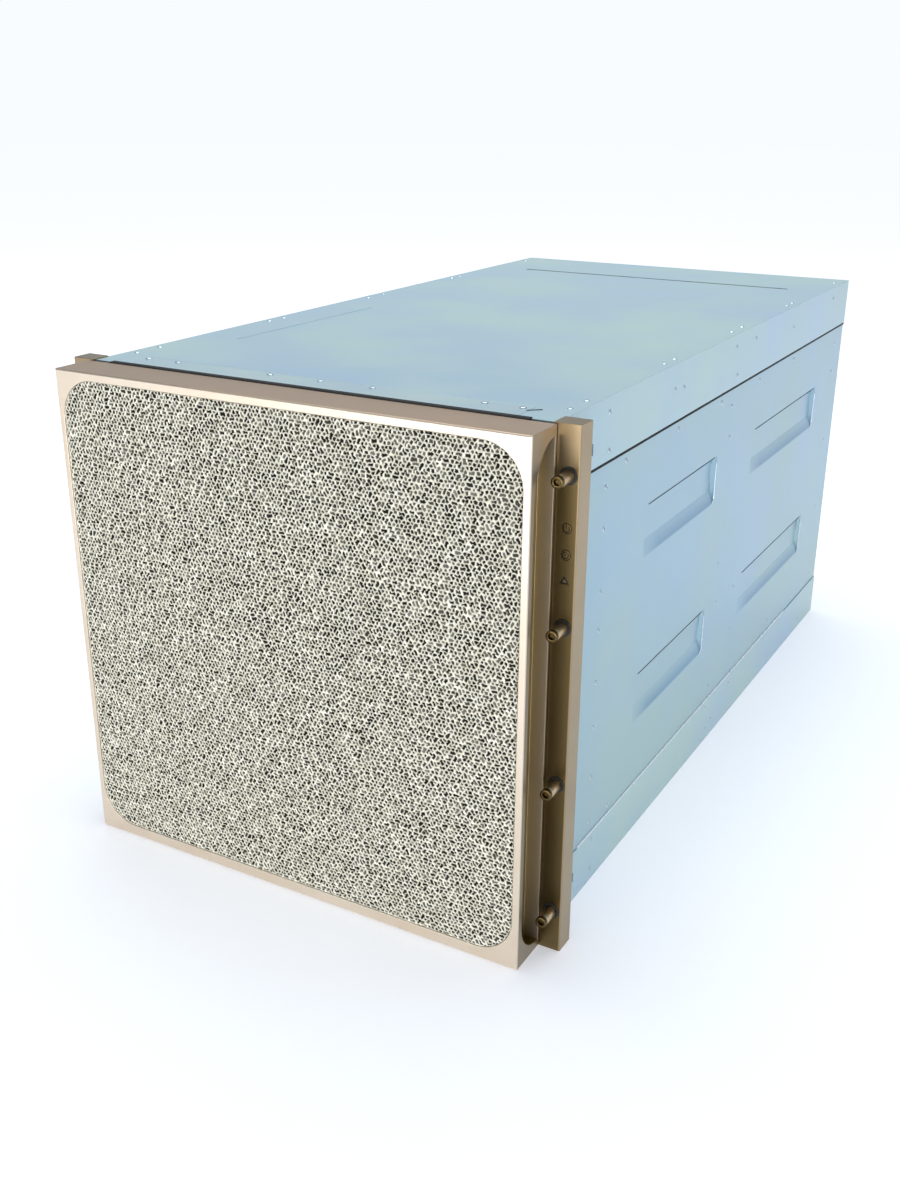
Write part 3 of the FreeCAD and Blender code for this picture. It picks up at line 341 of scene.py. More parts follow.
@dataclass(frozen=True)
class PaintedShadeFinish(Finish):
    """A finish with painted shade in some zones, for hollows and faces that catch less light."""

    zones: tuple[Zone, ...] = ()

    def paint(
        self, tree: bpy.types.NodeTree, place: bpy.types.NodeSocket, cloud: bpy.types.NodeSocket
    ) -> bpy.types.NodeSocket:
        """Skin colour, and the painted shade inside the zones.

        Args:
            tree: The material's nodes.
            place: Object coordinates.
            cloud: Slow noise of the drift size.

        Returns:
            The colour socket.
        """
        colour = super().paint(tree, place, cloud)
        parts = add_node(tree, "ShaderNodeSeparateXYZ", inputs={"Vector": place})
        across = add_node(
            tree, "ShaderNodeMath", {"operation": "ABSOLUTE"}, {0: parts.outputs["X"]}
        )
        axes = (across.outputs[0], parts.outputs["Y"], parts.outputs["Z"])
        for zone in self.zones:
            colour = mix(tree, zone.share(tree, axes), colour, linear(zone.shade))
        return colour


@dataclass(frozen=True)
class PoreShadedFoamFinish(Finish):
    """Foam whose colour falls from its ligaments to a painted shade on the floor of its pores."""

    # Painted shade of the pores: its colour, and where it starts and where it is full along Y.
    pit: str = "12110B"
    crest: float = -447.45
    floor: float = -446.75

    def paint(
        self, tree: bpy.types.NodeTree, place: bpy.types.NodeSocket, cloud: bpy.types.NodeSocket
    ) -> bpy.types.NodeSocket:
        """Ligament colour above, painted shade of the pores below.

        Args:
            tree: The material's nodes.
            place: Object coordinates.
            cloud: Slow noise of the drift size.

        Returns:
            The colour socket.
        """
        skin = super().paint(tree, place, cloud)
        parts = add_node(tree, "ShaderNodeSeparateXYZ", inputs={"Vector": place})
        span = (self.crest * MM, self.floor * MM)
        depth = ramp(tree, parts.outputs["Y"], span, soft=True)
        return mix(tree, depth, skin, linear(self.pit))


@dataclass(frozen=True)
class BoardFinish(Finish):
    """Solder mask over a printed circuit: staggered copper tracks show as paler lines."""

    track: str = "2F6B4A"
    track_length: float = 14.0
    track_pitch: float = 2.2
    track_width: float = 0.5

    def paint(
        self, tree: bpy.types.NodeTree, place: bpy.types.NodeSocket, cloud: bpy.types.NodeSocket
    ) -> bpy.types.NodeSocket:
        """Mask colour crossed by tracks.

        Args:
            tree: The material's nodes.
            place: Object coordinates.
            cloud: Slow noise of the drift size.

        Returns:
            The colour socket.
        """
        mask = super().paint(tree, place, cloud)
        tracks = add_node(
            tree,
            "ShaderNodeTexBrick",
            inputs={
                "Vector": place,
                "Color1": (0, 0, 0, 1),
                "Color2": (0, 0, 0, 1),
                "Mortar": (1, 1, 1, 1),
                "Scale": 1 / MM,
                "Mortar Size": self.track_width / 2,
                "Brick Width": self.track_length,
                "Row Height": self.track_pitch,
            },
        )
        return mix(tree, tracks.outputs["Color"], mask, linear(self.track))


# Anodised aluminium, bead-blasted: warm metal with a fine satin grit and soft, wide highlights.
# The bezel's outer sides and top take a browner painted shade, and its finger pockets a dark olive
# painted shade.
BEZEL_SKIN = PaintedShadeFinish(
    "anodised_aluminium_painted_shade", "champagne_aluminium", "DDCFBD", "D2C1AA", 90.0,
    grain_size=0.7, relief=0.008, metallic=1.0, roughness=0.42, gloss_drift=0.02, coat=0.08,
    # Painted shade: the finger pockets, the outer sides with the rim behind the pockets, and the top
    # face.
    zones=(
        Zone("7F6C2F", (207.5, -441.4, 7.0), (222.35, -410.9, 435.0), (0.3, 0.4, 1.0)),
        Zone("9A8E7C", (222.3, -447.2, -3.0), (224.0, -407.5, 446.0), (0.3, 0.8, 1.0)),
        Zone("BDA58D", (-1.0, -448.0, 442.3), (222.4, -407.9, 444.0), (0.6, 0.4, 0.3)),
    ),
)
# The same metal on the ears, drawn darker as painted shade, and darkest on their fronts below the upper
# end, also painted shade.
EAR_SKIN = PaintedShadeFinish(
    "ear_anodised_aluminium", "champagne_aluminium", "A08D70", "948162", 90.0,
    grain_size=0.7, relief=0.008, metallic=1.0, roughness=0.34, gloss_drift=0.02, coat=0.08,
    zones=(Zone("6E5E3D", (222.6, -409.0, -9.0), (240.0, -407.2, 415.0), (0.6, 0.3, 30.0)),),
)
# The same metal on turned screws, where the tool leaves it glossier; a painted shade darkens their tips
# and hollow ends.
TURNED = PaintedShadeFinish(
    "turned_aluminium_painted_shade", "screw_aluminium", "C4B08F", "B39C7A", 6.0,
    grain_size=0.5, relief=0.008, metallic=1.0, roughness=0.34, gloss_drift=0.04,
    zones=(Zone("5C4C2E", (220.0, -430.0, 0.0), (240.0, -424.2, 443.0), (0.6, 0.3, 1.0)),),
)
# Anodised caps of the buttons: dull bronze, drawn dark in the same painted shade as the ear round them.
BUTTON = Finish(
    "button_aluminium_painted_shade", "button_aluminium", "6B5B3B", "605133", 8.0,
    grain_size=0.6, relief=0.01, metallic=1.0, roughness=0.4,
)
# Open-cell aluminium foam with a pale anodised skin: bright ligaments over pores darkened by painted
# shade.
FOAM = PoreShadedFoamFinish(
    "metal_foam_painted_pore_shade", "metal_foam", "F1ECDC", "DDD6C0", 9.0,
    grain_size=0.9, relief=0.03, metallic=0.2, roughness=0.42, gloss_drift=0.08, specular=0.15,
)
# Zinc-plated steel with a pale blue passivation that drifts to green: satin, clouded, rolled.
ZINC = Finish(
    "zinc_plated_steel", "zinc_steel", "B0CEE0", "C2DCD2", 190.0, tint_share=0.8,
    grain=Grain.ALONG_DEPTH, grain_size=1.2, relief=0.006, metallic=0.3, roughness=0.36,
    gloss_drift=0.05, coat=0.2,
)
# The side walls wear the same plating, drawn a little darker than the roof as painted shade, with a
# bluer painted shade on the lower slopes of their pockets.
PANEL_SKIN = PaintedShadeFinish(
    "pressed_zinc_steel_painted_shade", "zinc_steel", "A1C3D6", "B3CEC9", 190.0, tint_share=0.8,
    grain=Grain.ALONG_DEPTH, grain_size=1.2, relief=0.006, metallic=0.3, roughness=0.36,
    gloss_drift=0.05, coat=0.2,
    zones=tuple(
        Zone("6F9DBB", (214.0, front, low), (219.1, rear, low + 28), (0.3, 40.0, 15.0))
        for front, rear in ((-192.0, 16.0), (114.0, 380.0))
        for low in (98.0, 260.0)
    ),
)
# The strip across the front of the roof came from a greener batch.
RAIL_SKIN = replace(
    ZINC, name="rail_zinc_plated_steel", colour="B7D1D9", tint="C4D9D3", drift=120.0
)
# Almost white zinc of the painted highlights along the side walls' pockets and the base flange's top
# edge.
PAINTED_HIGHLIGHT = Finish(
    "zinc_painted_highlights", "zinc_steel", "EEF4F8", "E0EAF0", 14.0,
    grain_size=0.6, relief=0.004, metallic=0.3, roughness=0.28,
)
# Zinc-plated rivets, screws and wire: small bright sparks on the satin sheet.
RIVET = Finish(
    "zinc_plated_fasteners", "zinc_steel", "C9D6DE", "B4C4CE", 5.0,
    grain_size=0.6, relief=0.01, metallic=1.0, roughness=0.3,
)
# Bare steel of the pins that stay in pulled rivets: dark and dull, a dark that also stands as painted
# shade in the rivets' hollows. The same dark is the painted shadow along the top edges of the side
# walls' pockets.
PIN_AND_GAP_SHADE = Finish(
    "rivet_pins_and_gaps_painted_shade", "zinc_steel", "3F4C57", "2E3942", 4.0,
    grain_size=0.5, relief=0.03, metallic=0.6, roughness=0.55,
)
# Nickel-plated sheet of card brackets and port cages: bright, with faint upright rolling lines.
NICKEL = Finish(
    "nickel_plated_sheet", "card_steel", "C7CACB", "B7BABC", 30.0,
    grain=Grain.ALONG_HEIGHT, grain_size=0.8, relief=0.008, metallic=1.0, roughness=0.3,
)
# Galvanised case of the power supplies: greyer and rougher than the chassis.
CASE = Finish(
    "galvanised_case_steel", "supply_steel", "AEB6BA", "9DA6AB", 24.0,
    grain=Grain.ALONG_HEIGHT, grain_size=1.0, relief=0.012, metallic=0.9, roughness=0.42,
)
# Glass-filled polyester of the fan frames: black, spark-eroded mould texture.
FAN_BLACK = Finish(
    "glass_filled_polyester", "fan_plastic", "1C1D1E", "26272A", 30.0,
    grain_size=0.6, relief=0.03, roughness=0.55,
)
# Moulded rotors: dark grey and smoother than the frames, so that the blades catch some light.
ROTOR_BLACK = Finish(
    "moulded_rotor_plastic", "rotor_plastic", "26282B", "303236", 40.0,
    grain_size=0.8, relief=0.015, roughness=0.42,
)
# Moulded drive carriers: charcoal with a fine, even texture.
CARRIER = Finish(
    "carrier_plastic", "drive_plastic", "2A2C2F", "34373B", 26.0,
    grain_size=0.5, relief=0.03, roughness=0.5,
)
# Extruded rubber edge trim: matt black that swallows light. The same black is the painted shadow of the
# seams under the roof's flanges and of its slots.
TRIM_AND_GAP_SHADOW = Finish(
    "edge_rubber_and_painted_gap_shadow", "trim_rubber", "151515", "1D1D1C", 20.0, grain_size=0.8, relief=0.03,
    roughness=0.75,
)
# Moulded acetal of the bezel's tongues and the screws' collars: black with a waxy sheen.
TONGUE = Finish(
    "acetal_tongues", "tongue_plastic", "1A1A1B", "242426", 12.0, grain_size=0.6, relief=0.02,
    roughness=0.4,
)
# Paint in the engraved signs: matt black strokes.
INK = Finish(
    "filled_engraving", "button_aluminium", "15120D", "1E1A14", 3.0, grain_size=0.4, relief=0.01,
    roughness=0.7, specular=0.1,
)
# Smoked polycarbonate lamp window: glossy, brown while it is off.
LENS = Finish(
    "smoked_polycarbonate", "lens_plastic", "5F5236", "54482F", 4.0, grain_size=0.5, relief=0.005,
    roughness=0.3, gloss_drift=0.03, coat=0.2,
)
# Powder-coated steel levers: black with a fine orange peel.
POWDER = Finish(
    "powder_coated_levers", "lever_plastic", "202225", "2A2C30", 18.0, grain_size=1.2, relief=0.05,
    roughness=0.48,
)
# Acetal release latches: the teal of a touch point.
LATCH = Finish(
    "acetal_touch_points", "latch_plastic", "1F6F7A", "185C66", 9.0, grain_size=0.6, relief=0.02,
    roughness=0.42,
)
# The same acetal on the release tabs of the drives.
TAB = replace(LATCH, name="acetal_drive_tabs", slot="drive_plastic")
# Clear light pipes of the drives: pale green, a painted glow as if they were lit from behind.
LAMP = Finish(
    "acrylic_light_pipes", "drive_plastic", "9CCB8E", "7FB06F", 2.0, grain_size=0.4, relief=0.004,
    roughness=0.2, coat=0.4,
)
# Moulded thermoset of inlets and fan openings: deep black with a slight sheen.
SOCKET = Finish(
    "inlet_thermoset", "supply_steel", "17181A", "202124", 10.0, grain_size=0.5, relief=0.02,
    roughness=0.5,
)
# Nickel-plated pins: bright and smooth in the dark of the inlet.
PIN = Finish(
    "nickel_plated_pins", "supply_steel", "C9C6BE", "B8B4AA", 6.0, grain_size=0.4, relief=0.004,
    metallic=1.0, roughness=0.25,
)
# Solder mask over etched copper: deep green, half glossy, with paler tracks.
MASK = BoardFinish(
    "solder_mask_green", "circuit_board", "12402B", "0E3323", 60.0, grain_size=0.8, relief=0.02,
    roughness=0.38,
)
# Moulded epoxy of the packages: matt charcoal.
CHIP = Finish(
    "epoxy_packages", "circuit_board", "1B1C1E", "27282B", 14.0, grain_size=0.5, relief=0.02,
    roughness=0.55,
)
# Drawn aluminium cans of the capacitors: bright round tops.
TIN = Finish(
    "aluminium_cans", "circuit_board", "C4C7CA", "AEB2B6", 5.0, grain_size=0.5, relief=0.008,
    metallic=1.0, roughness=0.3,
)
# Moulded nylon of the memory sockets: dark grey with a soft sheen.
CONNECTOR = Finish(
    "nylon_connectors", "circuit_board", "2C2E33", "3A3D44", 9.0, grain_size=0.5, relief=0.02,
    roughness=0.5,
)
# Skived and extruded aluminium fins: bright, drawn along the air flow.
FIN = Finish(
    "extruded_fin_aluminium", "sink_aluminium", "B8BEC4", "A6ADB4", 30.0,
    grain=Grain.ALONG_DEPTH, grain_size=0.7, relief=0.01, metallic=1.0, roughness=0.4,
)


def round_edges(bm: bmesh.types.BMesh, edges: list, width: float, segments: int) -> list:
    """Round some edges of a mesh.

    Args:
        bm: The mesh.
        edges: The edges.
        width: Width of the rounding.
        segments: Faces across it.

    Returns:
        The new faces.
    """
    return bmesh.ops.bevel(
        bm,
        geom=edges,
        offset=width,
        offset_type="OFFSET",
        segments=segments,
        profile=0.5,
        affect="EDGES",
        clamp_overlap=True,
        material=-1,
    )["faces"]


class Shape:
    """A mesh in the making, in millimetres."""

    def __init__(self) -> None:
        """Start with nothing."""
        self.bm = bmesh.new()

    @classmethod
    def of_node(cls, node: bpy.types.Object) -> "Shape":
        """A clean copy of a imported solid, with its loose triangles joined into faces.

        Args:
            node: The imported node's object.

        Returns:
            The copy.
        """
        shape = cls()
        shape.bm.from_mesh(node.data)
        bmesh.ops.scale(shape.bm, vec=Vector((1, 1, 1)) / MM, verts=shape.bm.verts)
        bmesh.ops.remove_doubles(shape.bm, verts=shape.bm.verts, dist=NODE_WELD)
        bmesh.ops.dissolve_limit(
            shape.bm, angle_limit=NODE_FLAT, verts=shape.bm.verts, edges=shape.bm.edges
        )
        return shape

    def soften(self, width: float, segments: int = 2, least: float = 28) -> "Shape":
        """Round the edges whose faces meet at more than a given angle.

        Args:
            width: Width of the rounding.
            segments: Faces across it.
            least: The angle, in degrees.

        Returns:
            This shape.
        """
        edges = []
        for edge in self.bm.edges:
            if edge.is_manifold:
                bend = math.degrees(edge.calc_face_angle(0.0))
                if bend > least:
                    edges.append(edge)
        round_edges(self.bm, edges, width, segments)
        return self

    def box(self, low: tuple, high: tuple, soft: float = 0.0, segments: int = 2) -> None:
        """Add a block between two corners.

        Args:
            low: Lowest corner.
            high: Highest corner.
            soft: Rounding of its edges.
            segments: Faces across the rounding.
        """
        size = Vector(high) - Vector(low)
        middle = (Vector(high) + Vector(low)) / 2
        place = Matrix.LocRotScale(middle, None, size)
        corners = bmesh.ops.create_cube(self.bm, size=1.0, matrix=place)["verts"]
        if soft:
            edges = list({edge for corner in corners for edge in corner.link_edges})
            round_edges(self.bm, edges, soft, segments)

    def turned(
        self, profile: Outline, origin: tuple, way: Vector, steps: int = 24, closed: bool = False
    ) -> None:
        """Add a turned form.

        Args:
            profile: Pairs of radius and place along the axis.
            origin: Where the axis starts.
            way: Direction of the axis.
            steps: Faces round the axis.
            closed: True if the profile is a closed loop, as of a ring.
        """
        before = set(self.bm.verts)
        row = [self.bm.verts.new((radius, 0, along)) for radius, along in profile]
        edges = [self.bm.edges.new(pair) for pair in zip(row, row[1:])]
        if closed:
            edges.append(self.bm.edges.new((row[-1], row[0])))
        bmesh.ops.spin(
            self.bm,
            geom=row + edges,
            cent=(0, 0, 0),
            axis=UP,
            angle=FULL_TURN,
            steps=steps,
            use_merge=True,
        )
        made = [v for v in self.bm.verts if v not in before]
        bmesh.ops.remove_doubles(self.bm, verts=made, dist=SPIN_WELD)
        made = [v for v in self.bm.verts if v not in before]
        turn = Vector(way).to_track_quat("Z", "Y").to_matrix().to_4x4()
        bmesh.ops.transform(self.bm, matrix=Matrix.Translation(origin) @ turn, verts=made)
        faces = list({face for v in made for face in v.link_faces})
        bmesh.ops.recalc_face_normals(self.bm, faces=faces)

    def rod(self, start: tuple, end: tuple, radius: float, sides: int = 8) -> None:
        """Add a straight round bar.

        Args:
            start: Middle of one end.
            end: Middle of the other end.
            radius: Radius of the bar.
            sides: Faces round it.
        """
        run = Vector(end) - Vector(start)
        turn = run.to_track_quat("Z", "Y").to_matrix().to_4x4()
        middle = (Vector(start) + Vector(end)) / 2
        bmesh.ops.create_cone(
            self.bm,
            cap_ends=True,
            segments=sides,
            radius1=radius,
            radius2=radius,
            depth=run.length,
            matrix=Matrix.Translation(middle) @ turn,
        )

    def wire_ring(self, origin: tuple, way: Vector, radius: float, wire: float, steps: int) -> None:
        """Add a ring of round wire.

        Args:
            origin: Middle of the ring.
            way: Direction that it faces.
            radius: Radius at the wire's middle.
            wire: Radius of the wire.
            steps: Faces round the ring.
        """
        turns = [FULL_TURN * i / WIRE_SIDES for i in range(WIRE_SIDES)]
        section = [(radius + wire * math.cos(turn), wire * math.sin(turn)) for turn in turns]
        self.turned(section, origin, way, steps, closed=True)

    def arc_band(
        self, origin: tuple, inner: float, outer: float, depth: float, start: float, sweep: float
    ) -> None:
        """Add a flat curved band that faces the front.

        Args:
            origin: Middle of the arc, on the band's front face.
            inner: Inner radius.
            outer: Outer radius.
            depth: Thickness towards the rear.
            start: Angle of its start from the right, in degrees.
            sweep: Angle that it covers, in degrees.
        """
        middle = Vector(origin)
        turn = math.radians(start)
        arm = Vector((math.cos(turn), 0, math.sin(turn)))
        section = ((inner, 0), (outer, 0), (outer, depth), (inner, depth))
        row = [self.bm.verts.new(middle + arm * r + REAR * back) for r, back in section]
        face = self.bm.faces.new(row)
        bmesh.ops.spin(
            self.bm,
            geom=[face, *face.edges, *row],
            cent=middle,
            axis=FRONT,
            angle=math.radians(sweep),
            steps=int(sweep / ARC_STEP),
        )

    def take(self, other: bmesh.types.BMesh) -> None:
        """Add another mesh and free it.

        Args:
            other: The mesh, which is used up.
        """
        spare = bpy.data.meshes.new("spare")
        other.to_mesh(spare)
        other.free()
        self.bm.from_mesh(spare)
        bpy.data.meshes.remove(spare)


@dataclass(frozen=True)
class CellSheet:
    """An upright sheet of six-sided cells, even in a punched vent and uneven in a foam."""

    width: float
    height: float
    corner: float
    pitch: float
    pore: tuple[float, float]
    jitter: float = 0.0
    merged: float = 0.0
    seed: int = 1
    ridge_share: tuple[float, float] = (0.0, 0.25)
    floor_share: tuple[float, float] = (0.8, 1.0)

    def beyond(self, point: Vector) -> float:
        """Distance of a point past the sheet's rounded outline.

        Args:
            point: A point in the sheet's plane.

        Returns:
            The distance, below zero inside the outline.
        """
        across = abs(point.x) - self.width / 2 + self.corner
        rise = abs(point.z) - self.height / 2 + self.corner
        outer = math.hypot(max(across, 0), max(rise, 0))
        return outer + min(max(across, rise), 0) - self.corner

    def held(self, point: Vector) -> Vector:
        """Bring a point that lies past the outline back to it.

        Args:
            point: A point in the sheet's plane.

        Returns:
            The point, or the nearest one on the outline.
        """
        if self.beyond(point) <= 0:
            return point
        half = Vector((self.width / 2 - self.corner, 0, self.height / 2 - self.corner))
        core = Vector((max(-half.x, min(half.x, point.x)), 0, max(-half.z, min(half.z, point.z))))
        return core + (point - core).normalized() * self.corner

    def cells(self, rng: random.Random) -> bmesh.types.BMesh:
        """Lay out the cells as faces of a flat mesh round the origin.

        Args:
            rng: Source of the unevenness.

        Returns:
            The mesh.
        """
        row_height = self.pitch * math.sqrt(0.75)
        columns = math.ceil(self.width / self.pitch) + 2
        rows = math.ceil(self.height / row_height) + 2
        bm = bmesh.new()
        bmesh.ops.create_grid(bm, x_segments=2 * columns, y_segments=rows, size=1.0)
        places = {}
        for v in bm.verts:
            places[v] = (round((v.co.x + 1) * columns), round((v.co.y + 1) * rows / 2))
        spare = []
        for edge in bm.edges:
            (i, j), (k, m) = (places[v] for v in edge.verts)
            if i == k and (i + min(j, m)) % 2 and len(edge.link_faces) == 2:
                spare.append(edge)
        bmesh.ops.dissolve_edges(bm, edges=spare, use_verts=False, use_face_split=False)
        shake = self.jitter * self.pitch
        for v, (i, j) in places.items():
            lift = row_height / 6 * (-1 if (i + j) % 2 else 1)
            x = (i - columns) * self.pitch / 2 + rng.uniform(-shake, shake)
            z = (j - rows / 2) * row_height + lift + rng.uniform(-shake, shake)
            v.co = (x, 0, z)
        outside = [f for f in bm.faces if all(self.beyond(v.co) > 0 for v in f.verts)]
        bmesh.ops.delete(bm, geom=outside, context="FACES")
        for v in bm.verts:
            v.co = self.held(v.co)
        self.merge_some(bm, rng)
        return bm

    def merge_some(self, bm: bmesh.types.BMesh, rng: random.Random) -> None:
        """Join some pairs of neighbouring cells into longer ones.

        Args:
            bm: The cells.
            rng: Source of the choice.
        """
        bm.faces.index_update()
        walls = [edge for edge in bm.edges if len(edge.link_faces) == 2]
        rng.shuffle(walls)
        used: set[int] = set()
        chosen = []
        for edge in walls:
            pair = {face.index for face in edge.link_faces}
            if len(used) < self.merged * len(bm.faces) and not pair & used:
                used |= pair
                chosen.append(edge)
        bmesh.ops.dissolve_edges(bm, edges=chosen, use_verts=False, use_face_split=False)

    def opened(self, bm: bmesh.types.BMesh, rng: random.Random) -> list[bmesh.types.BMFace]:
        """Set a smaller face, its pore, into every cell.

        Args:
            bm: The cells, which become the walls round the pores.
            rng: Source of the pores' sizes.

        Returns:
            The pores.
        """
        pores = list(bm.faces)
        bmesh.ops.inset_individual(bm, faces=pores, thickness=0.0, depth=0.0)
        for pore in pores:
            middle = pore.calc_center_median()
            share = rng.uniform(*self.pore)
            for v in pore.verts:
                v.co = middle + (v.co - middle) * share
        return pores

    def relief(self, front: float, floor: float, back: float) -> list[bmesh.types.BMesh]:
        """Foam: ridges in front of sunk pores, on a flat back, as a left and a right half.

        Args:
            front: Place of the highest ridges along Y.
            floor: Place of the pores' floors.
            back: Place of the back.

        Returns:
            The two closed meshes.
        """
        rng = random.Random(self.seed)
        whole = self.cells(rng)
        right = whole.faces.layers.int.new("right")
        ridge = list(whole.verts)
        for face in whole.faces:
            face[right] = int(face.calc_center_median().x >= 0)
        pores = self.opened(whole, rng)
        for v in ridge:
            v.co.y = front + rng.uniform(*self.ridge_share) * (floor - front)
        for pore in pores:
            sunk = front + rng.uniform(*self.floor_share) * (floor - front)
            for v in pore.verts:
                v.co.y = sunk
        halves = []
        for other in (1, 0):
            bm = whole.copy()
            right = bm.faces.layers.int["right"]
            bmesh.ops.delete(bm, geom=[f for f in bm.faces if f[right] == other], context="FACES")
            rim = [edge for edge in bm.edges if edge.is_boundary]
            grown = bmesh.ops.extrude_edge_only(bm, edges=rim)["geom"]
            for v in (g for g in grown if isinstance(g, bmesh.types.BMVert)):
                v.co.y = back
            seam = [g for g in grown if isinstance(g, bmesh.types.BMEdge)]
            bmesh.ops.edgeloop_fill(bm, edges=[e for e in seam if e.is_boundary])
            bmesh.ops.recalc_face_normals(bm, faces=bm.faces)
            halves.append(bm)
        whole.free()
        return halves

    def punched(self, thickness: float) -> bmesh.types.BMesh:
        """Sheet metal with rows of six-sided holes.

        Args:
            thickness: Thickness of the sheet.

        Returns:
            The closed mesh.
        """
        rng = random.Random(self.seed)
        bm = self.cells(rng)
        bmesh.ops.delete(bm, geom=self.opened(bm, rng), context="FACES_ONLY")
        bmesh.ops.recalc_face_normals(bm, faces=bm.faces)
        bmesh.ops.solidify(bm, geom=bm.faces[:], thickness=thickness)
        bmesh.ops.recalc_face_normals(bm, faces=bm.faces)
        return bm


class Kit:
    """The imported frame, and the way shapes become pieces on it."""

    def __init__(self) -> None:
        """Load the frame and note its box."""
        self.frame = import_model()
        self.cad_box = [list(corner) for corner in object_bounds()]

    def box(self, node: str) -> tuple[Vector, Vector]:
        """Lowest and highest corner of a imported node, in millimetres."""
        low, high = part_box(node)
        return low / MM, high / MM

    def copy(self, node: str) -> Shape:
        """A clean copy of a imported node's shape."""
        return Shape.of_node(self.frame["nodes"][node])

    def islands(self, node: str) -> list[tuple[Vector, Vector]]:
        """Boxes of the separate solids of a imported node.

        Args:
            node: The node's name.

        Returns:
            Lowest and highest corner of each, from the lower left front.
        """
        bm = self.copy(node).bm
        left = set(bm.verts)
        boxes = []
        while left:
            queue = [left.pop()]
            group = []
            while queue:
                v = queue.pop()
                group.append(v.co)
                near = {edge.other_vert(v) for edge in v.link_edges} & left
                left -= near
                queue.extend(near)
            low = Vector(min(p[i] for p in group) for i in range(3))
            high = Vector(max(p[i] for p in group) for i in range(3))
            boxes.append((low, high))
        bm.free()
        return sorted(boxes, key=lambda box: (round(box[0].z), round(box[0].y), round(box[0].x)))

    def dress(self, node: str, finish: Finish) -> None:
        """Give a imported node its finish.

        Args:
            node: The node's name.
            finish: The finish that it wears.
        """
        solid = self.frame["nodes"][node]
        if not solid.material_slots:
            solid.data.materials.append(finish.material())
        for slot in solid.material_slots:
            slot.material = finish.material()
        LOG.info("%s wears %s", node, finish.name)

    def piece(
        self,
        shape: Shape,
        name: str,
        body: str,
        finish: Finish,
        *stands_for: str,
        smooth: float = 40,
        flat: bool = False,
    ) -> None:
        """Turn a shape into a piece that rides on a body.

        Args:
            shape: The shape, which is used up.
            name: Name of the piece.
            body: Body that carries it.
            finish: The finish that it wears.
            stands_for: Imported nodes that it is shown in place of.
            smooth: Largest angle that is shaded as round, in degrees.
            flat: True keeps broad faces flat beside their rounded edges.
        """
        bm = shape.bm
        bmesh.ops.scale(bm, vec=Vector((MM, MM, MM)), verts=bm.verts)
        mesh = bpy.data.meshes.new(name)
        bm.to_mesh(mesh)
        bm.free()
        mesh.polygons.foreach_set("use_smooth", [True] * len(mesh.polygons))
        mesh.set_sharp_from_angle(angle=math.radians(smooth))
        mesh.materials.append(finish.material())
        made = bpy.data.objects.new(name, mesh)
        bpy.context.scene.collection.objects.link(made)
        if flat:
            made.modifiers.new("flat_faces", "WEIGHTED_NORMAL").keep_sharp = True
        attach(made, body)
        if stands_for:
            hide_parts(*stands_for)
        LOG.info("%s rides on %s with %d faces", name, body, len(mesh.polygons))


@dataclass
class Bezel:
    """Front bezel: a blasted aluminium frame round a panel of metal foam."""

    edge: float = 0.45
    foam_corner: float = 33.7
    foam_pitch: float = 3.55
    foam_jitter: float = 0.23
    foam_merged: float = 0.55
    foam_seed: int = 7
    foam_smooth: float = 75
    pore_depth: float = 1.3
    pore_share: tuple[float, float] = (0.48, 0.68)

    def build(self, kit: Kit) -> None:
        """Make the frame, the foam and the tongues.

        Args:
            kit: The frame.
        """
        frame = kit.copy("bezel_frame").soften(self.edge)
        kit.piece(frame, "bezel_frame_blasted", "bezel", BEZEL_SKIN, "bezel_frame", flat=True)
        kit.dress("bezel_tongues", TONGUE)
        self.foam(kit)

    def foam(self, kit: Kit) -> None:
        """Make the foam panel as a left and a right half.

        Args:
            kit: The frame.
        """
        low, high = kit.box("bezel_foam")
        middle = (low + high) / 2
        sheet = CellSheet(
            high.x - low.x,
            high.z - low.z,
            self.foam_corner,
            self.foam_pitch,
            self.pore_share,
            jitter=self.foam_jitter,
            merged=self.foam_merged,
            seed=self.foam_seed,
        )
        halves = sheet.relief(low.y, low.y + self.pore_depth, high.y)
        for half, name in zip(halves, ("foam_panel_left", "foam_panel_right")):
            shape = Shape()
            shape.take(half)
            bmesh.ops.translate(shape.bm, vec=(middle.x, 0, middle.z), verts=shape.bm.verts)
            kit.piece(shape, name, "bezel", FOAM, "bezel_foam", smooth=self.foam_smooth)


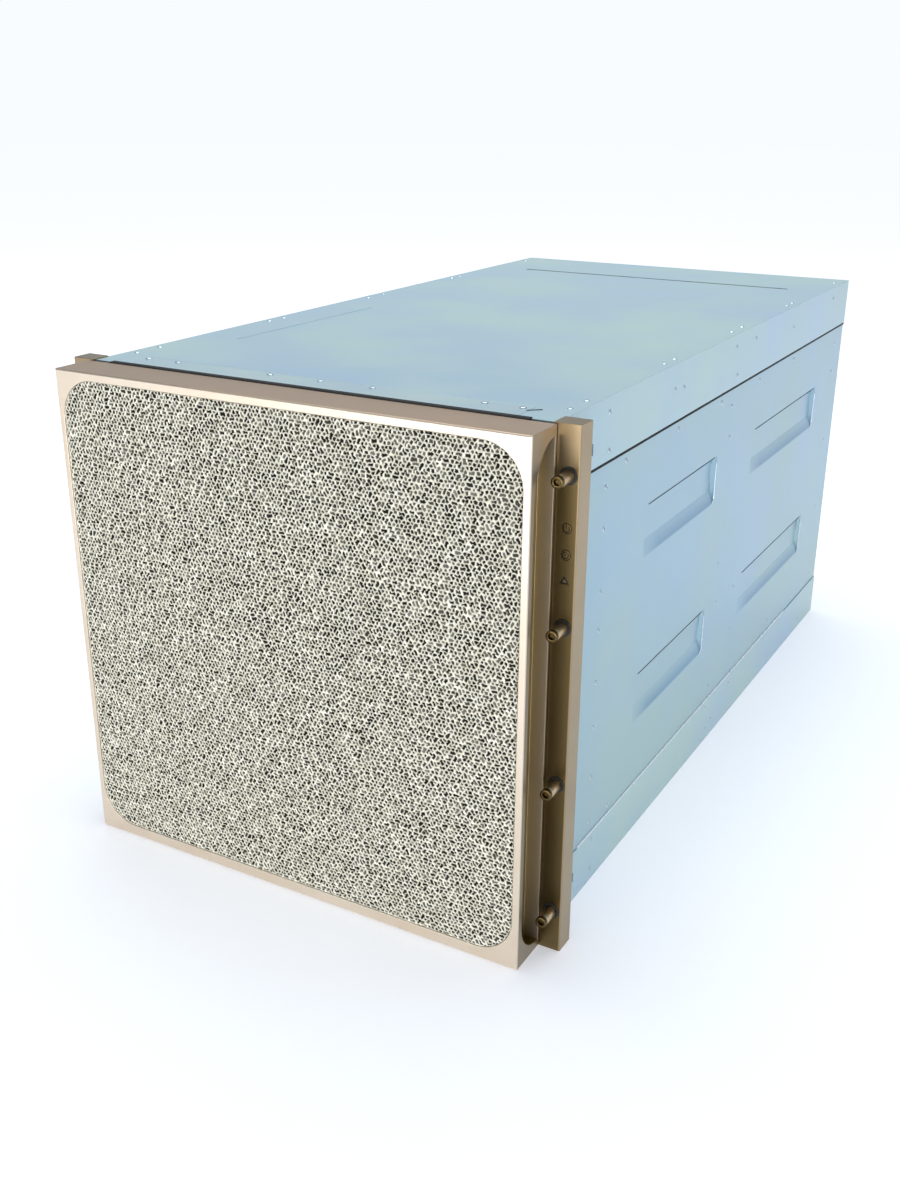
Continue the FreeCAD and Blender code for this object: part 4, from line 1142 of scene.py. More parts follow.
@dataclass
class RackEars:
    """Rack ears with captive thumb screws, two buttons and a lamp."""

    edge: float = 0.4
    screws: int = 8
    steps: int = 28
    smooth: float = 35
    # Hollow end and grooved side of a screw's knob: radius, and distance from its tip.
    knob: Outline = (
        (0, 3.2), (2.3, 3.2), (2.5, 0.6), (2.7, 0.3), (3.3, 0.2), (3.4, 0.0), (4.1, 0.0),
        (4.6, 0.25), (4.78, 0.9), (4.78, 4.4), (4.5, 4.7), (4.5, 5.2), (4.78, 5.5),
    )
    knob_radius: float = 4.78
    knob_back: float = 4.3
    knob_turn: float = 0.8
    knob_gap: float = 0.25
    shank: float = 2.7
    # One turn of the thread: radius, and distance from the turn's start.
    thread: Outline = ((2.98, 0.25), (2.98, 0.4), (2.6, 0.9))
    thread_pitch: float = 1.0
    screw_tip: float = 2.2
    collar_inner: float = 5.15
    collar_outer: float = 6.9
    collar_height: float = 1.0
    collar_bevel: float = 0.35
    button_radius: float = 3.8
    # Rounded rim of a button: distance past its radius, and depth behind the front of its box.
    button_rim: Outline = ((-0.7, 0.05), (-0.25, 0.1), (-0.03, 0.35))
    button_flange: tuple[float, float] = (0.95, 0.6)
    sign_radius: float = 2.9
    sign_line: float = 0.8
    sign_depth: float = 0.12
    # Each button with the start and sweep of its ring, in degrees, and the ends of its stroke.
    signs: tuple[tuple[str, tuple[float, float], tuple[float, float]], ...] = (
        ("power_button", (130, 280), (0.2, 3.2)),
        ("id_button", (60, 350), (-1.0, 1.1)),
    )
    lens_edge: float = 0.3
    outline_rise: float = 0.05
    outline_side: float = 0.9
    outline_foot: float = 0.6
    outline_head: float = 1.2

    def build(self, kit: Kit) -> None:
        """Make the ears and all that sits in them.

        Args:
            kit: The frame.
        """
        for side in ("left", "right"):
            node = f"{side}_rack_ear"
            ear = kit.copy(node).soften(self.edge)
            kit.piece(ear, f"{node}_blasted", "chassis", EAR_SKIN, node, flat=True)
        collars = Shape()
        for number in range(1, self.screws + 1):
            self.thumb_screw(kit, number, collars)
        kit.piece(collars, "thumb_screw_collars", "chassis", TONGUE)
        for node, arc, stroke in self.signs:
            self.button(kit, node, arc, stroke)
        self.lamp(kit)
        kit.dress("indicator_board", MASK)

    def thumb_screw(self, kit: Kit, number: int, collars: Shape) -> None:
        """Make one turned screw and add its collar.

        Args:
            kit: The frame.
            number: Number of the screw.
            collars: Shape that gets the collar.
        """
        node = f"thumb_screw_{number}"
        low, high = kit.box(node)
        x, z = (low.x + high.x) / 2, (low.z + high.z) / 2
        ear = kit.box("left_rack_ear")
        knob_end = ear[0].y - low.y - self.knob_gap
        start = ear[1].y - low.y
        length = high.y - low.y
        profile = [*self.knob, (self.knob_radius, knob_end - self.knob_turn)]
        profile += [(self.knob_back, knob_end), (self.shank, knob_end), (self.shank, start)]
        turns = int((length - start) / self.thread_pitch) - 1
        for i in range(turns):
            turn = start + i * self.thread_pitch
            profile += [(radius, turn + along) for radius, along in self.thread]
        profile += [(self.screw_tip, length), (0, length)]
        screw = Shape()
        screw.turned(profile, (x, low.y, z), REAR, self.steps)
        kit.piece(screw, f"{node}_turned", node, TURNED, node, smooth=self.smooth)
        inner, outer, rise = self.collar_inner, self.collar_outer, self.collar_height
        bevel = self.collar_bevel
        ring = [(inner, 0), (outer, 0), (outer, rise - bevel), (outer - bevel, rise), (inner, rise)]
        collars.turned(ring, (x, ear[0].y, z), FRONT, self.steps, closed=True)

    def button(self, kit: Kit, node: str, arc: tuple, stroke: tuple) -> None:
        """Make one turned button with a ring and a stroke filled into its face.

        Args:
            kit: The frame.
            node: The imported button.
            arc: Start and sweep of the ring, in degrees.
            stroke: Lower and upper end of the stroke, from the button's middle.
        """
        low, high = kit.box(node)
        x, y, z = (low.x + high.x) / 2, low.y, (low.z + high.z) / 2
        depth = high.y - low.y
        overhang, thickness = self.button_flange
        flange, back = self.button_radius + overhang, depth - thickness
        rim = [(self.button_radius + past, behind) for past, behind in self.button_rim]
        profile = [(0, rim[0][1]), *rim, (rim[-1][0], back)]
        profile += [(flange, back), (flange, depth), (0, depth)]
        cap = Shape()
        cap.turned(profile, (x, y, z), REAR, self.steps)
        kit.piece(cap, f"{node}_cap", node, BUTTON, node, smooth=self.smooth)
        sign = Shape()
        inner, outer = self.sign_radius - self.sign_line, self.sign_radius
        sign.arc_band((x, y, z), inner, outer, self.sign_depth, *arc)
        half = self.sign_line / 2
        sign.box((x - half, y, z + stroke[0]), (x + half, y + self.sign_depth, z + stroke[1]))
        kit.piece(sign, node.replace("button", "sign"), node, INK)

    def lamp(self, kit: Kit) -> None:
        """Make the lamp window with a dark outline.

        Args:
            kit: The frame.
        """
        low, high = kit.box("fault_lens")
        lens = kit.copy("fault_lens").soften(self.lens_edge)
        kit.piece(lens, "fault_lens_moulded", "chassis", LENS, "fault_lens")
        y = low.y - self.outline_rise
        foot = low.z + self.outline_foot
        corners = [
            Vector((low.x + self.outline_side, y, foot)),
            Vector((high.x - self.outline_side, y, foot)),
            Vector(((low.x + high.x) / 2, y, high.z - self.outline_head)),
        ]
        outline = Shape()
        for i, corner in enumerate(corners):
            outline.rod(corner, corners[(i + 1) % len(corners)], self.sign_line / 2)
        kit.piece(outline, "fault_sign", "chassis", INK)


@dataclass(frozen=True)
class PressedPanel:
    """Side wall of sheet steel with four pressed pockets and a column of slots."""

    sheet: float = 1.2
    depth: float = 4.0
    pocket_height: float = 48.0
    pocket_starts: tuple[tuple[float, float], ...] = ((191.0, 379.0), (497.0, 743.0))
    pocket_heights: tuple[float, ...] = (118.0, 280.0)
    mouth_inset: float = 2.0
    slope_end: float = 5.0
    slope_low: float = 14.0
    slope_high: float = 3.0
    slope_fall: float = 1.0
    corner: float = 7.0
    corner_bend: float = 0.05
    corner_steps: int = 5
    press: float = 1.4
    press_bends: tuple[float, float] = (0.1, 1.2)
    press_steps: int = 3
    level_fall: float = 0.01
    slot_start: float = 62.0
    slot_length: float = 4.5
    slot_height: float = 9.0
    slot_low: float = 24.5
    slot_high: float = 407.0
    slots: int = 5

    def shape(self, side: int, low: Vector, high: Vector) -> Shape:
        """Press one panel out of a flat sheet.

        Args:
            side: One for the right panel, minus one for the left.
            low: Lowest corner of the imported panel.
            high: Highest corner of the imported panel.

        Returns:
            The closed shape.
        """
        outside = max(abs(low.x), abs(high.x))
        spans = [(low.y + a, low.y + b) for a, b in self.pocket_starts]
        rows = [(z, z + self.pocket_height) for z in self.pocket_heights]
        gap = (self.slot_high - self.slot_low) / (self.slots - 1)
        middles = [self.slot_low + i * gap for i in range(self.slots)]
        half = self.slot_height / 2
        slots = [(z - half, z + half) for z in middles]
        slot = (low.y + self.slot_start, low.y + self.slot_start + self.slot_length)
        lines_y = sorted({low.y, high.y, *slot, *(y for span in spans for y in span)})
        lines_z = sorted({low.z, high.z, *(z for row in rows + slots for z in row)})
        shape = Shape()
        bm = shape.bm
        bmesh.ops.create_grid(bm, x_segments=len(lines_y) - 1, y_segments=len(lines_z) - 1, size=1.0)
        for v in bm.verts:
            i = round((v.co.x + 1) / 2 * (len(lines_y) - 1))
            j = round((v.co.y + 1) / 2 * (len(lines_z) - 1))
            v.co = (outside, lines_y[i], lines_z[j])

        def inside(face: bmesh.types.BMFace, span: tuple, row: tuple) -> bool:
            """True if the face's middle lies in the rectangle."""
            middle = face.calc_center_median()
            return span[0] < middle.y < span[1] and row[0] < middle.z < row[1]

        holes = [f for f in bm.faces if any(inside(f, slot, row) for row in slots)]
        bmesh.ops.delete(bm, geom=holes, context="FACES")
        for span in spans:
            for row in rows:
                self.pocket(bm, [f for f in bm.faces if inside(f, span, row)], span, row)
        bmesh.ops.recalc_face_normals(bm, faces=bm.faces)
        if max(bm.faces, key=lambda face: face.calc_area()).normal.x < 0:
            bmesh.ops.reverse_faces(bm, faces=bm.faces)
        bmesh.ops.solidify(bm, geom=bm.faces[:], thickness=self.sheet)
        for v in bm.verts:
            v.co.x = min(max(v.co.x, outside - self.sheet - self.depth), outside) * side
        bmesh.ops.recalc_face_normals(bm, faces=bm.faces)
        return shape

    @staticmethod
    def fall(edge: bmesh.types.BMEdge) -> float:
        """How much deeper one end of an edge lies in the sheet than the other."""
        return abs(edge.verts[0].co.x - edge.verts[1].co.x)

    def pocket(self, bm: bmesh.types.BMesh, faces: list, span: tuple, row: tuple) -> None:
        """Press one pocket into the sheet.

        Args:
            bm: The sheet.
            faces: Faces in the pocket's mouth.
            span: Ends of the mouth along Y.
            row: Ends of the mouth along Z.
        """
        inset = self.mouth_inset
        mouth = bmesh.ops.dissolve_faces(bm, faces=faces)["region"][0]
        ring = bmesh.ops.inset_individual(bm, faces=[mouth], thickness=inset)["faces"]
        tops = (span[0] + self.slope_end, span[1] - self.slope_end)
        sides = (row[0] + self.slope_low, row[1] - self.slope_high)
        for v in mouth.verts:
            share_y = (v.co.y - span[0] - inset) / (span[1] - span[0] - 2 * inset)
            share_z = (v.co.z - row[0] - inset) / (row[1] - row[0] - 2 * inset)
            v.co.x -= self.depth
            v.co.y = tops[0] + share_y * (tops[1] - tops[0])
            v.co.z = sides[0] + share_z * (sides[1] - sides[0])
        slopes = [e for f in ring for e in f.edges if self.fall(e) > self.slope_fall]
        corners = [e for e in set(slopes) if e.calc_face_angle(0.0) > self.corner_bend]
        made = round_edges(bm, corners, self.corner, self.corner_steps)
        rims = {e for f in [mouth, *ring, *made] if f.is_valid for e in f.edges}
        least, most = self.press_bends
        folds = [e for e in rims if e.is_valid and least < e.calc_face_angle(0.0) < most]
        level = [e for e in folds if self.fall(e) < self.level_fall]
        round_edges(bm, level, self.press, self.press_steps)


@dataclass
class Chassis:
    """Zinc-plated sheet-steel body with pressed pockets, rivets and screws."""

    edge: float = 0.3
    panel: PressedPanel = PressedPanel()
    rivet_radius: float = 2.4
    rivet_rise: float = 0.8
    rivet_pit: float = 0.4
    rivet_sunk: float = 0.05
    rivet_root: float = 0.1
    # Dome of a rivet's head from the pit to the sheet: shares of its radius and rise.
    rivet_dome: Outline = ((0.46, 0.95), (0.62, 0.9), (0.88, 0.5), (1.0, 0.1))
    rivet_steps: int = 12
    pin_rise: float = 0.45
    pin_round: float = 0.6
    pin_steps: int = 10
    roof_rivets: tuple[float, ...] = (-361, -331, -167, -143, 16, 48, 207, 227, 413)
    roof_rivet_x: float = 211.0
    rail_screws: tuple[float, ...] = (-183, -150, -52, -2, 48, 148, 180)
    rail_screw_y: float = -377.0
    # Pan head of a rail screw with its recess: radius, and height above the rail.
    rail_screw: Outline = (
        (0, 0.5), (0.9, 0.5), (1.0, 0.95), (1.7, 0.95), (2.7, 0.6), (3.0, 0.1), (3.0, -0.1), (0, -0.1),
    )
    rail_screw_steps: int = 16
    cover_flange: float = 51.7
    base_flange: float = 49.5
    seam_height: float = 2.6
    seam_depth: float = 0.9
    # Dark strips of painted shadow under the roof's flanges: how far they sink, reach and round.
    seam_shadow_sunk: float = 0.2
    seam_shadow_front: float = 0.4
    seam_shadow_rear: float = 0.2
    seam_shadow_overlap: float = 0.05
    seam_shadow_soft: float = 0.2
    lip: float = 0.55
    gap: float = 0.32
    bend_steps: int = 6
    ledge: float = 1.8
    ledge_sunk: float = 0.1
    ledge_short: float = 0.05
    ledge_root: float = 0.3
    ledge_soft: float = 0.2
    base_lip: tuple[float, float] = (-330.0, 300.0)
    trim_depth: float = 5.0
    trim_step: float = 0.3
    trim_soft: float = 0.5
    trim_segments: int = 3
    trim_lip: float = 6.6
    trim_lip_start: float = 1.0
    trim_lip_height: float = 0.8
    trim_lip_soft: float = 0.3
    slot_middle: tuple[float, float] = (3.0, 333.0)
    slot_half: tuple[float, float] = (172.8, 3.1)
    slot_drops: tuple[float, float] = (1.3, 0.35)
    slot_soft: float = 0.3
    latch_slot: tuple[tuple[float, float], tuple[float, float]] = ((186.0, -383.0), (195.0, -375.0))
    latch_drop: float = 0.4
    latch_radius: float = 0.9
    bead: tuple[tuple[float, float], tuple[float, float]] = ((-176.5, -263.0), (-170.5, -38.0))
    bead_radius: float = 0.5
    rod_sides: int = 10
    panel_rivets: tuple[tuple[float, float], ...] = (
        (-305, 64), (-305, 108), (-305, 156), (-305, 198), (-305, 246), (-305, 280), (-305, 334),
        (-305, 369), (-264, 381), (-142, 381), (-22, 381), (10, 371), (12, 339), (11, 205), (12, 161),
        (72, 159), (75, 108), (-263, 58), (100, 381), (228, 381), (12, 64), (228, 64), (415, 64),
        (415, 156), (415, 246), (415, 334), (415, 369),
    )
    flange_rivets: tuple[tuple[float, float], ...] = (
        (-307, 430), (-305, 399), (-161, 420), (-139, 418), (7, 430), (16, 401), (69, 429), (209, 419),
        (378, 429), (-300, 42), (2, 42), (81, 40), (10, 13), (28, 18), (-300, 13), (228, 40), (378, 13),
    )

    def build(self, kit: Kit) -> None:
        """Make the sheet metal and its fasteners.

        Args:
            kit: The frame.
        """
        sheets = (("top_cover", ZINC), ("chassis_base", ZINC), ("front_top_rail", RAIL_SKIN))
        for node, finish in sheets:
            folded = kit.copy(node).soften(self.edge)
            kit.piece(folded, f"{node}_folded", "chassis", finish, node, flat=True)
        for side, word in ((-1, "left"), (1, "right")):
            node = f"{word}_side_panel"
            pressed = self.panel.shape(side, *kit.box(node))
            kit.piece(pressed, f"{node}_pressed", "chassis", PANEL_SKIN, node, flat=True)
        self.trim(kit)
        self.rivets(kit)
        self.gap_shadows(kit)
        self.pocket_lines(kit)
        kit.dress("bay_shelves", ZINC)
        kit.dress("midplane_board", MASK)

    def trim(self, kit: Kit) -> None:
        """Make the rubber trim: a strip in the seam behind the bezel, and its lip on the roof.

        Args:
            kit: The frame.
        """
        low, high = kit.box("edge_trim")
        trim = Shape()
        strip_end = (high.x, low.y + self.trim_depth, high.z - self.trim_step)
        trim.box(low, strip_end, self.trim_soft, self.trim_segments)
        lip_start = (low.x, low.y + self.trim_lip_start, high.z - self.trim_lip_height)
        trim.box(lip_start, (high.x, low.y + self.trim_lip, high.z), self.trim_lip_soft)
        kit.piece(trim, "edge_trim_extruded", "chassis", TRIM_AND_GAP_SHADOW, "edge_trim", flat=True)

    def head(self, shape: Shape, place: tuple, way: Vector) -> None:
        """Add one rivet head with the pit of its drawn pin.

        Args:
            shape: Shape that gets it.
            place: Where it sits.
            way: Direction that it faces.
        """
        r, h = self.rivet_radius, self.rivet_rise
        profile = [(0, -self.rivet_sunk), (self.rivet_pit * r, -self.rivet_sunk)]
        profile += [(out * r, up * h) for out, up in self.rivet_dome]
        profile += [(r, -self.rivet_root), (0, -self.rivet_root)]
        shape.turned(profile, place, way, self.rivet_steps)

    def pin(self, shape: Shape, place: tuple, way: Vector) -> None:
        """Add the broken-off pin that shows in a rivet's pit.

        Args:
            shape: Shape that gets it.
            place: Where the rivet sits.
            way: Direction that it faces.
        """
        r, h = self.rivet_pit * self.rivet_radius, self.pin_rise * self.rivet_rise
        profile = [(0, h), (self.pin_round * r, h), (r, self.pin_round * h)]
        profile += [(r, -self.rivet_sunk), (0, -self.rivet_sunk)]
        shape.turned(profile, place, way, self.pin_steps)

    def gap_shadows(self, kit: Kit) -> None:
        """Make the roof's painted shadows under its flanges and in its two slots, and its bead.

        Args:
            kit: The frame.
        """
        high = kit.box("top_cover")[1]
        wall = kit.box("right_side_panel")[1].x
        front = kit.box("right_rack_ear")[1].y + self.seam_shadow_front
        flange = high.z - self.cover_flange
        # Painted shadow: dark strips under the flanges, in the long slot and in the latch slot.
        gap_shadows = Shape()
        for side in (-1, 1):
            x = sorted((side * (wall - self.seam_shadow_sunk), side * (wall + self.seam_depth)))
            start = (x[0], front, flange - self.seam_height)
            end = (x[1], high.y - self.seam_shadow_rear, flange + self.seam_shadow_overlap)
            gap_shadows.box(start, end, self.seam_shadow_soft)
        (x, y), (half_x, half_y) = self.slot_middle, self.slot_half
        bottom, top = (high.z - drop for drop in self.slot_drops)
        gap_shadows.box((x - half_x, y - half_y, bottom), (x + half_x, y + half_y, top), self.slot_soft)
        z = high.z - self.latch_drop
        (x0, y0), (x1, y1) = self.latch_slot
        gap_shadows.rod((x0, y0, z), (x1, y1, z), self.latch_radius, self.rod_sides)
        kit.piece(gap_shadows, "chassis_gap_shadows", "chassis", TRIM_AND_GAP_SHADOW)
        bead = Shape()
        (x0, y0), (x1, y1) = self.bead
        bead.rod((x0, y0, high.z), (x1, y1, high.z), self.bead_radius, self.rod_sides)
        kit.piece(bead, "roof_bead", "chassis", ZINC)

    def pocket_lines(self, kit: Kit) -> None:
        """Make the painted highlights and painted shadows of the side walls.

        A highlight rod runs down the rear end of each pocket and round its lower corner, a shadow rod
        along its top, and a highlight ledge along the upper edge of the base's flange.

        Args:
            kit: The frame.
        """
        low, high = kit.box("right_side_panel")
        base = kit.box("chassis_base")[1].x
        turn = self.panel.corner
        bends = [math.radians(90 * i / self.bend_steps) for i in range(self.bend_steps + 1)]
        lips = Shape()
        shadow_rods = Shape()
        for side in (-1, 1):
            x = side * high.x
            for first, last in self.panel.pocket_starts:
                front, rear = low.y + first, low.y + last
                for z in self.panel.pocket_heights:
                    top = z + self.panel.pocket_height
                    # The bright rods round each pocket's rear end and lower corner are painted
                    # highlights.
                    rim = [(x, rear, top - turn)]
                    for bend in bends:
                        y = rear + turn * (math.cos(bend) - 1)
                        rim.append((x, y, z + turn * (1 - math.sin(bend))))
                    for end, other in zip(rim, rim[1:]):
                        lips.rod(end, other, self.lip)
                    # The dark rod along each pocket's top edge is a painted shadow.
                    shadow_rods.rod((x, front + turn, top), (x, rear - turn, top), self.gap)
            # The bright ledge on the base flange is a painted highlight.
            across = sorted((side * (high.x - self.ledge_sunk), side * (base - self.ledge_short)))
            start = (across[0], self.base_lip[0], self.base_flange - self.ledge_root)
            end = (across[1], self.base_lip[1], self.base_flange + self.ledge)
            lips.box(start, end, self.ledge_soft)
        kit.piece(lips, "painted_highlight_lips", "chassis", PAINTED_HIGHLIGHT, flat=True)
        kit.piece(shadow_rods, "pocket_painted_shadows", "chassis", PIN_AND_GAP_SHADE)

    def rivets(self, kit: Kit) -> None:
        """Make the rivets of the roof and the sides, and the screws of the front rail.

        Args:
            kit: The frame.
        """
        roof = kit.box("top_cover")[1]
        wall = kit.box("right_side_panel")[1].x
        rivets = Shape()
        pins = Shape()
        for side, way in ((-1, LEFT), (1, RIGHT)):
            for y in self.roof_rivets:
                self.head(rivets, (side * self.roof_rivet_x, y, roof.z), UP)
            sunk = [(side * wall, y, z) for y, z in self.panel_rivets]
            sunk += [(side * roof.x, y, z) for y, z in self.flange_rivets]
            for place in sunk:
                self.head(rivets, place, way)
                self.pin(pins, place, way)
        kit.piece(rivets, "chassis_rivets", "chassis", RIVET)
        # The pins' dark is partly the bare steel and partly a painted shade of the rivets' hollows.
        kit.piece(pins, "chassis_rivet_pins", "chassis", PIN_AND_GAP_SHADE)
        screws = Shape()
        for x in self.rail_screws:
            place = (x, self.rail_screw_y, roof.z)
            screws.turned(self.rail_screw, place, UP, self.rail_screw_steps)
        kit.piece(screws, "front_rail_screws", "chassis", RIVET)


@dataclass
class FrontBay:
    """What the bezel hides: the front cage, four fans and eight drives."""

    fans: int = 4
    guard_radii: tuple[float, ...] = (22.0, 36.0, 50.0, 64.0, 78.0)
    guard_wire: float = 0.9
    guard_steps: int = 48
    bore: float = 86.0
    bore_steps: int = 64
    frame_half: float = 90.0
    spider: float = 3.5
    cup_face: float = 27.5
    cup_radius: float = 29.0
    cup_bevel: float = 0.6
    cup_steps: int = 40
    arms: int = 3
    arm_start: float = 27.0
    arm_root: float = 0.5
    arm_sides: int = 10
    hub: float = 31.0
    # Front of a rotor's cap: radius, and distance from its face.
    cap: Outline = ((0, 0), (26, 0), (29.6, 1.2))
    cap_gap: float = 0.3
    cap_shoulder: float = 4.0
    cap_wall: float = 2.0
    cap_hollow: float = 6.0
    cap_steps: int = 48
    boss: float = 4.2
    bearing: float = 3.1
    bearing_depth: float = 18.0
    blades: int = 5
    blade_grid: tuple[int, int] = (10, 8)
    blade_root: float = 1.5
    blade_thickness: float = 1.6
    blade_shift: float = 1.0
    blade_smooth: float = 50
    tip: float = 84.5
    chord: float = 50.0
    root_chord: float = 0.8
    chord_growth: float = 0.25
    sweep: float = 0.32
    pitch: float = 0.3844
    twist: float = 0.42
    camber: float = 3.2
    carrier_edge: float = 0.6
    seat: float = 0.2
    ribs: int = 6
    rib_start: float = 6.0
    rib_pitch: float = 4.4
    rib_width: float = 1.8
    rib_margin: float = 4.0
    rib_rise: float = 1.2
    rib_soft: float = 0.5
    tab_ends: tuple[float, float] = (9.0, 3.5)
    tab_margin: float = 6.0
    tab_rise: float = 1.6
    tab_soft: float = 0.6
    lamp_x: float = 36.0
    lamp_margin: float = 3.5
    # Dome of a drive's lamp: radius, and height in front of the carrier.
    lamp_dome: Outline = ((0, 0.5), (0.7, 0.4), (1.1, 0.0), (1.1, -0.2), (0, -0.2))
    lamp_steps: int = 12

    def build(self, kit: Kit) -> None:
        """Make the cage, the fans and the drives.

        Args:
            kit: The frame.
        """
        kit.dress("front_cage", ZINC)
        guards = Shape()
        frames = Shape()
        for number in range(1, self.fans + 1):
            node = f"fan_rotor_{number}"
            low, high = kit.box(node)
            x, z = (low.x + high.x) / 2, (low.z + high.z) / 2
            self.guard(kit, guards, x, z)
            self.fan_frame(kit, frames, x, z)
            self.rotor(kit, node)
        kit.piece(guards, "fan_guards", "chassis", RIVET)
        kit.piece(frames, "fan_frames", "chassis", FAN_BLACK, "fan_housings")
        self.drives(kit)

    def drives(self, kit: Kit) -> None:
        """Make the carriers with their ribs, release tabs and lamps.

        Args:
            kit: The frame.
        """
        moulded = kit.copy("drive_carriers").soften(self.carrier_edge)
        kit.piece(moulded, "drive_carriers_moulded", "chassis", CARRIER, "drive_carriers", flat=True)
        ribs = Shape()
        tabs = Shape()
        lamps = Shape()
        for low, high in kit.islands("drive_carriers"):
            y = low.y
            back = y + self.seat
            margin = self.rib_margin
            for i in range(self.ribs):
                x = low.x + self.rib_start + i * self.rib_pitch
                start = (x, y - self.rib_rise, low.z + margin)
                ribs.box(start, (x + self.rib_width, back, high.z - margin), self.rib_soft)
            x0, x1 = (high.x - end for end in self.tab_ends)
            start = (x0, y - self.tab_rise, low.z + self.tab_margin)
            tabs.box(start, (x1, back, high.z - self.tab_margin), self.tab_soft)
            for z in (low.z + self.lamp_margin, high.z - self.lamp_margin):
                lamps.turned(self.lamp_dome, (low.x + self.lamp_x, y, z), FRONT, self.lamp_steps)
        kit.piece(ribs, "drive_carrier_ribs", "chassis", CARRIER)
        kit.piece(tabs, "drive_carrier_tabs", "chassis", TAB)
        kit.piece(lamps, "drive_carrier_lamps", "chassis", LAMP)

    def guard(self, kit: Kit, guards: Shape, x: float, z: float) -> None:
        """Add one wire guard in front of a fan.

        Args:
            kit: The frame.
            guards: Shape that gets it.
            x: Middle of the fan.
            z: Middle of the fan.
        """
        y = kit.box("front_cage")[0].y - self.guard_wire / 2
        for radius in self.guard_radii:
            guards.wire_ring((x, y, z), FRONT, radius, self.guard_wire, self.guard_steps)

    def fan_frame(self, kit: Kit, frames: Shape, x: float, z: float) -> None:
        """Add one moulded fan frame with a round bore, a spider and a motor cup.

        Args:
            kit: The frame.
            frames: Shape that gets it.
            x: Middle of the fan.
            z: Middle of the fan.
        """
        low, high = kit.box("fan_housings")
        bm = frames.bm
        before = set(bm.verts)
        ring = bmesh.ops.create_circle(bm, segments=self.bore_steps, radius=self.bore)["verts"]
        edges = list({edge for v in ring for edge in v.link_edges})
        grown = bmesh.ops.extrude_edge_only(bm, edges=edges)["geom"]
        for v in (g for g in grown if isinstance(g, bmesh.types.BMVert)):
            v.co = v.co / max(abs(v.co.x), abs(v.co.y)) * self.frame_half
        made = [v for v in bm.verts if v not in before]
        faces = list({face for v in made for face in v.link_faces})
        solid = bmesh.ops.extrude_face_region(bm, geom=faces)["geom"]
        lifted = [g for g in solid if isinstance(g, bmesh.types.BMVert)]
        bmesh.ops.translate(bm, vec=(0, 0, high.y - low.y), verts=lifted)
        made = [v for v in bm.verts if v not in before]
        turn = REAR.to_track_quat("Z", "Y").to_matrix().to_4x4()
        bmesh.ops.transform(bm, matrix=Matrix.Translation((x, low.y, z)) @ turn, verts=made)
        bmesh.ops.recalc_face_normals(bm, faces=list({f for v in made for f in v.link_faces}))
        r, wall = self.cup_radius, self.spider
        cup = [(0, 0), (self.cup_face, 0), (r, self.cup_bevel), (r, wall), (0, wall)]
        frames.turned(cup, (x, high.y - wall, z), REAR, self.cup_steps)
        reach = self.bore - self.arm_start + self.arm_root
        for i in range(self.arms):
            turn = FULL_TURN * i / self.arms
            arm = Vector((math.cos(turn), 0, -math.sin(turn)))
            start = Vector((x, high.y - wall / 2, z)) + arm * self.arm_start
            frames.rod(start, start + arm * reach, wall / 2, self.arm_sides)

    def blade(self, middle: float) -> bpy.types.Mesh:
        """Make one swept, twisted blade that points up from the origin.

        Args:
            middle: Place of its middle along Y.

        Returns:
            A spare mesh of the blade.
        """
        blade = bmesh.new()
        columns, rows = self.blade_grid
        bmesh.ops.create_grid(blade, x_segments=columns, y_segments=rows, size=1.0)
        root = self.hub - self.blade_root
        half = self.chord / 2
        for v in blade.verts:
            across, along = v.co.x, (v.co.y + 1) / 2
            radius = root + along * (self.tip - root)
            spread = half * (self.root_chord + self.chord_growth * along) / radius
            angle = across * spread + self.sweep * along * along
            lift = across * half * self.pitch * (1 - self.twist * along)
            lift -= self.camber * (1 - across * across)
            v.co = (radius * math.sin(angle), lift, radius * math.cos(angle))
        bmesh.ops.solidify(blade, geom=blade.faces[:], thickness=self.blade_thickness)
        bmesh.ops.translate(blade, vec=(0, middle, 0), verts=blade.verts)
        spare = bpy.data.meshes.new("blade")
        blade.to_mesh(spare)
        blade.free()
        return spare

    def rotor(self, kit: Kit, node: str) -> None:
        """Make one rotor: a hollow cap on its bearing, with blades round it.

        Args:
            kit: The frame.
            node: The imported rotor.
        """
        low, high = kit.box(node)
        x, z = (low.x + high.x) / 2, (low.z + high.z) / 2
        depth = high.y - low.y
        outer, inner = self.hub - self.cap_gap, self.hub - self.cap_wall
        hollow, seat = depth - self.cap_hollow, depth - self.bearing_depth
        cap = [*self.cap, (outer, self.cap_shoulder), (outer, depth), (inner, depth), (inner, hollow)]
        cap += [(self.boss, hollow), (self.boss, depth), (self.bearing, depth)]
        cap += [(self.bearing, seat), (0, seat)]
        rotor = Shape()
        rotor.turned(cap, (x, low.y, z), REAR, self.cap_steps)
        spare = self.blade(low.y + depth / 2 + self.blade_shift)
        for i in range(self.blades):
            before = set(rotor.bm.verts)
            rotor.bm.from_mesh(spare)
            made = [v for v in rotor.bm.verts if v not in before]
            turn = Matrix.Rotation(FULL_TURN * i / self.blades, 4, "Y")
            bmesh.ops.transform(rotor.bm, matrix=Matrix.Translation((x, 0, z)) @ turn, verts=made)
            faces = list({face for v in made for face in v.link_faces})
            bmesh.ops.recalc_face_normals(rotor.bm, faces=faces)
        bpy.data.meshes.remove(spare)
        kit.piece(rotor, f"{node}_bladed", node, ROTOR_BLACK, node, smooth=self.blade_smooth)


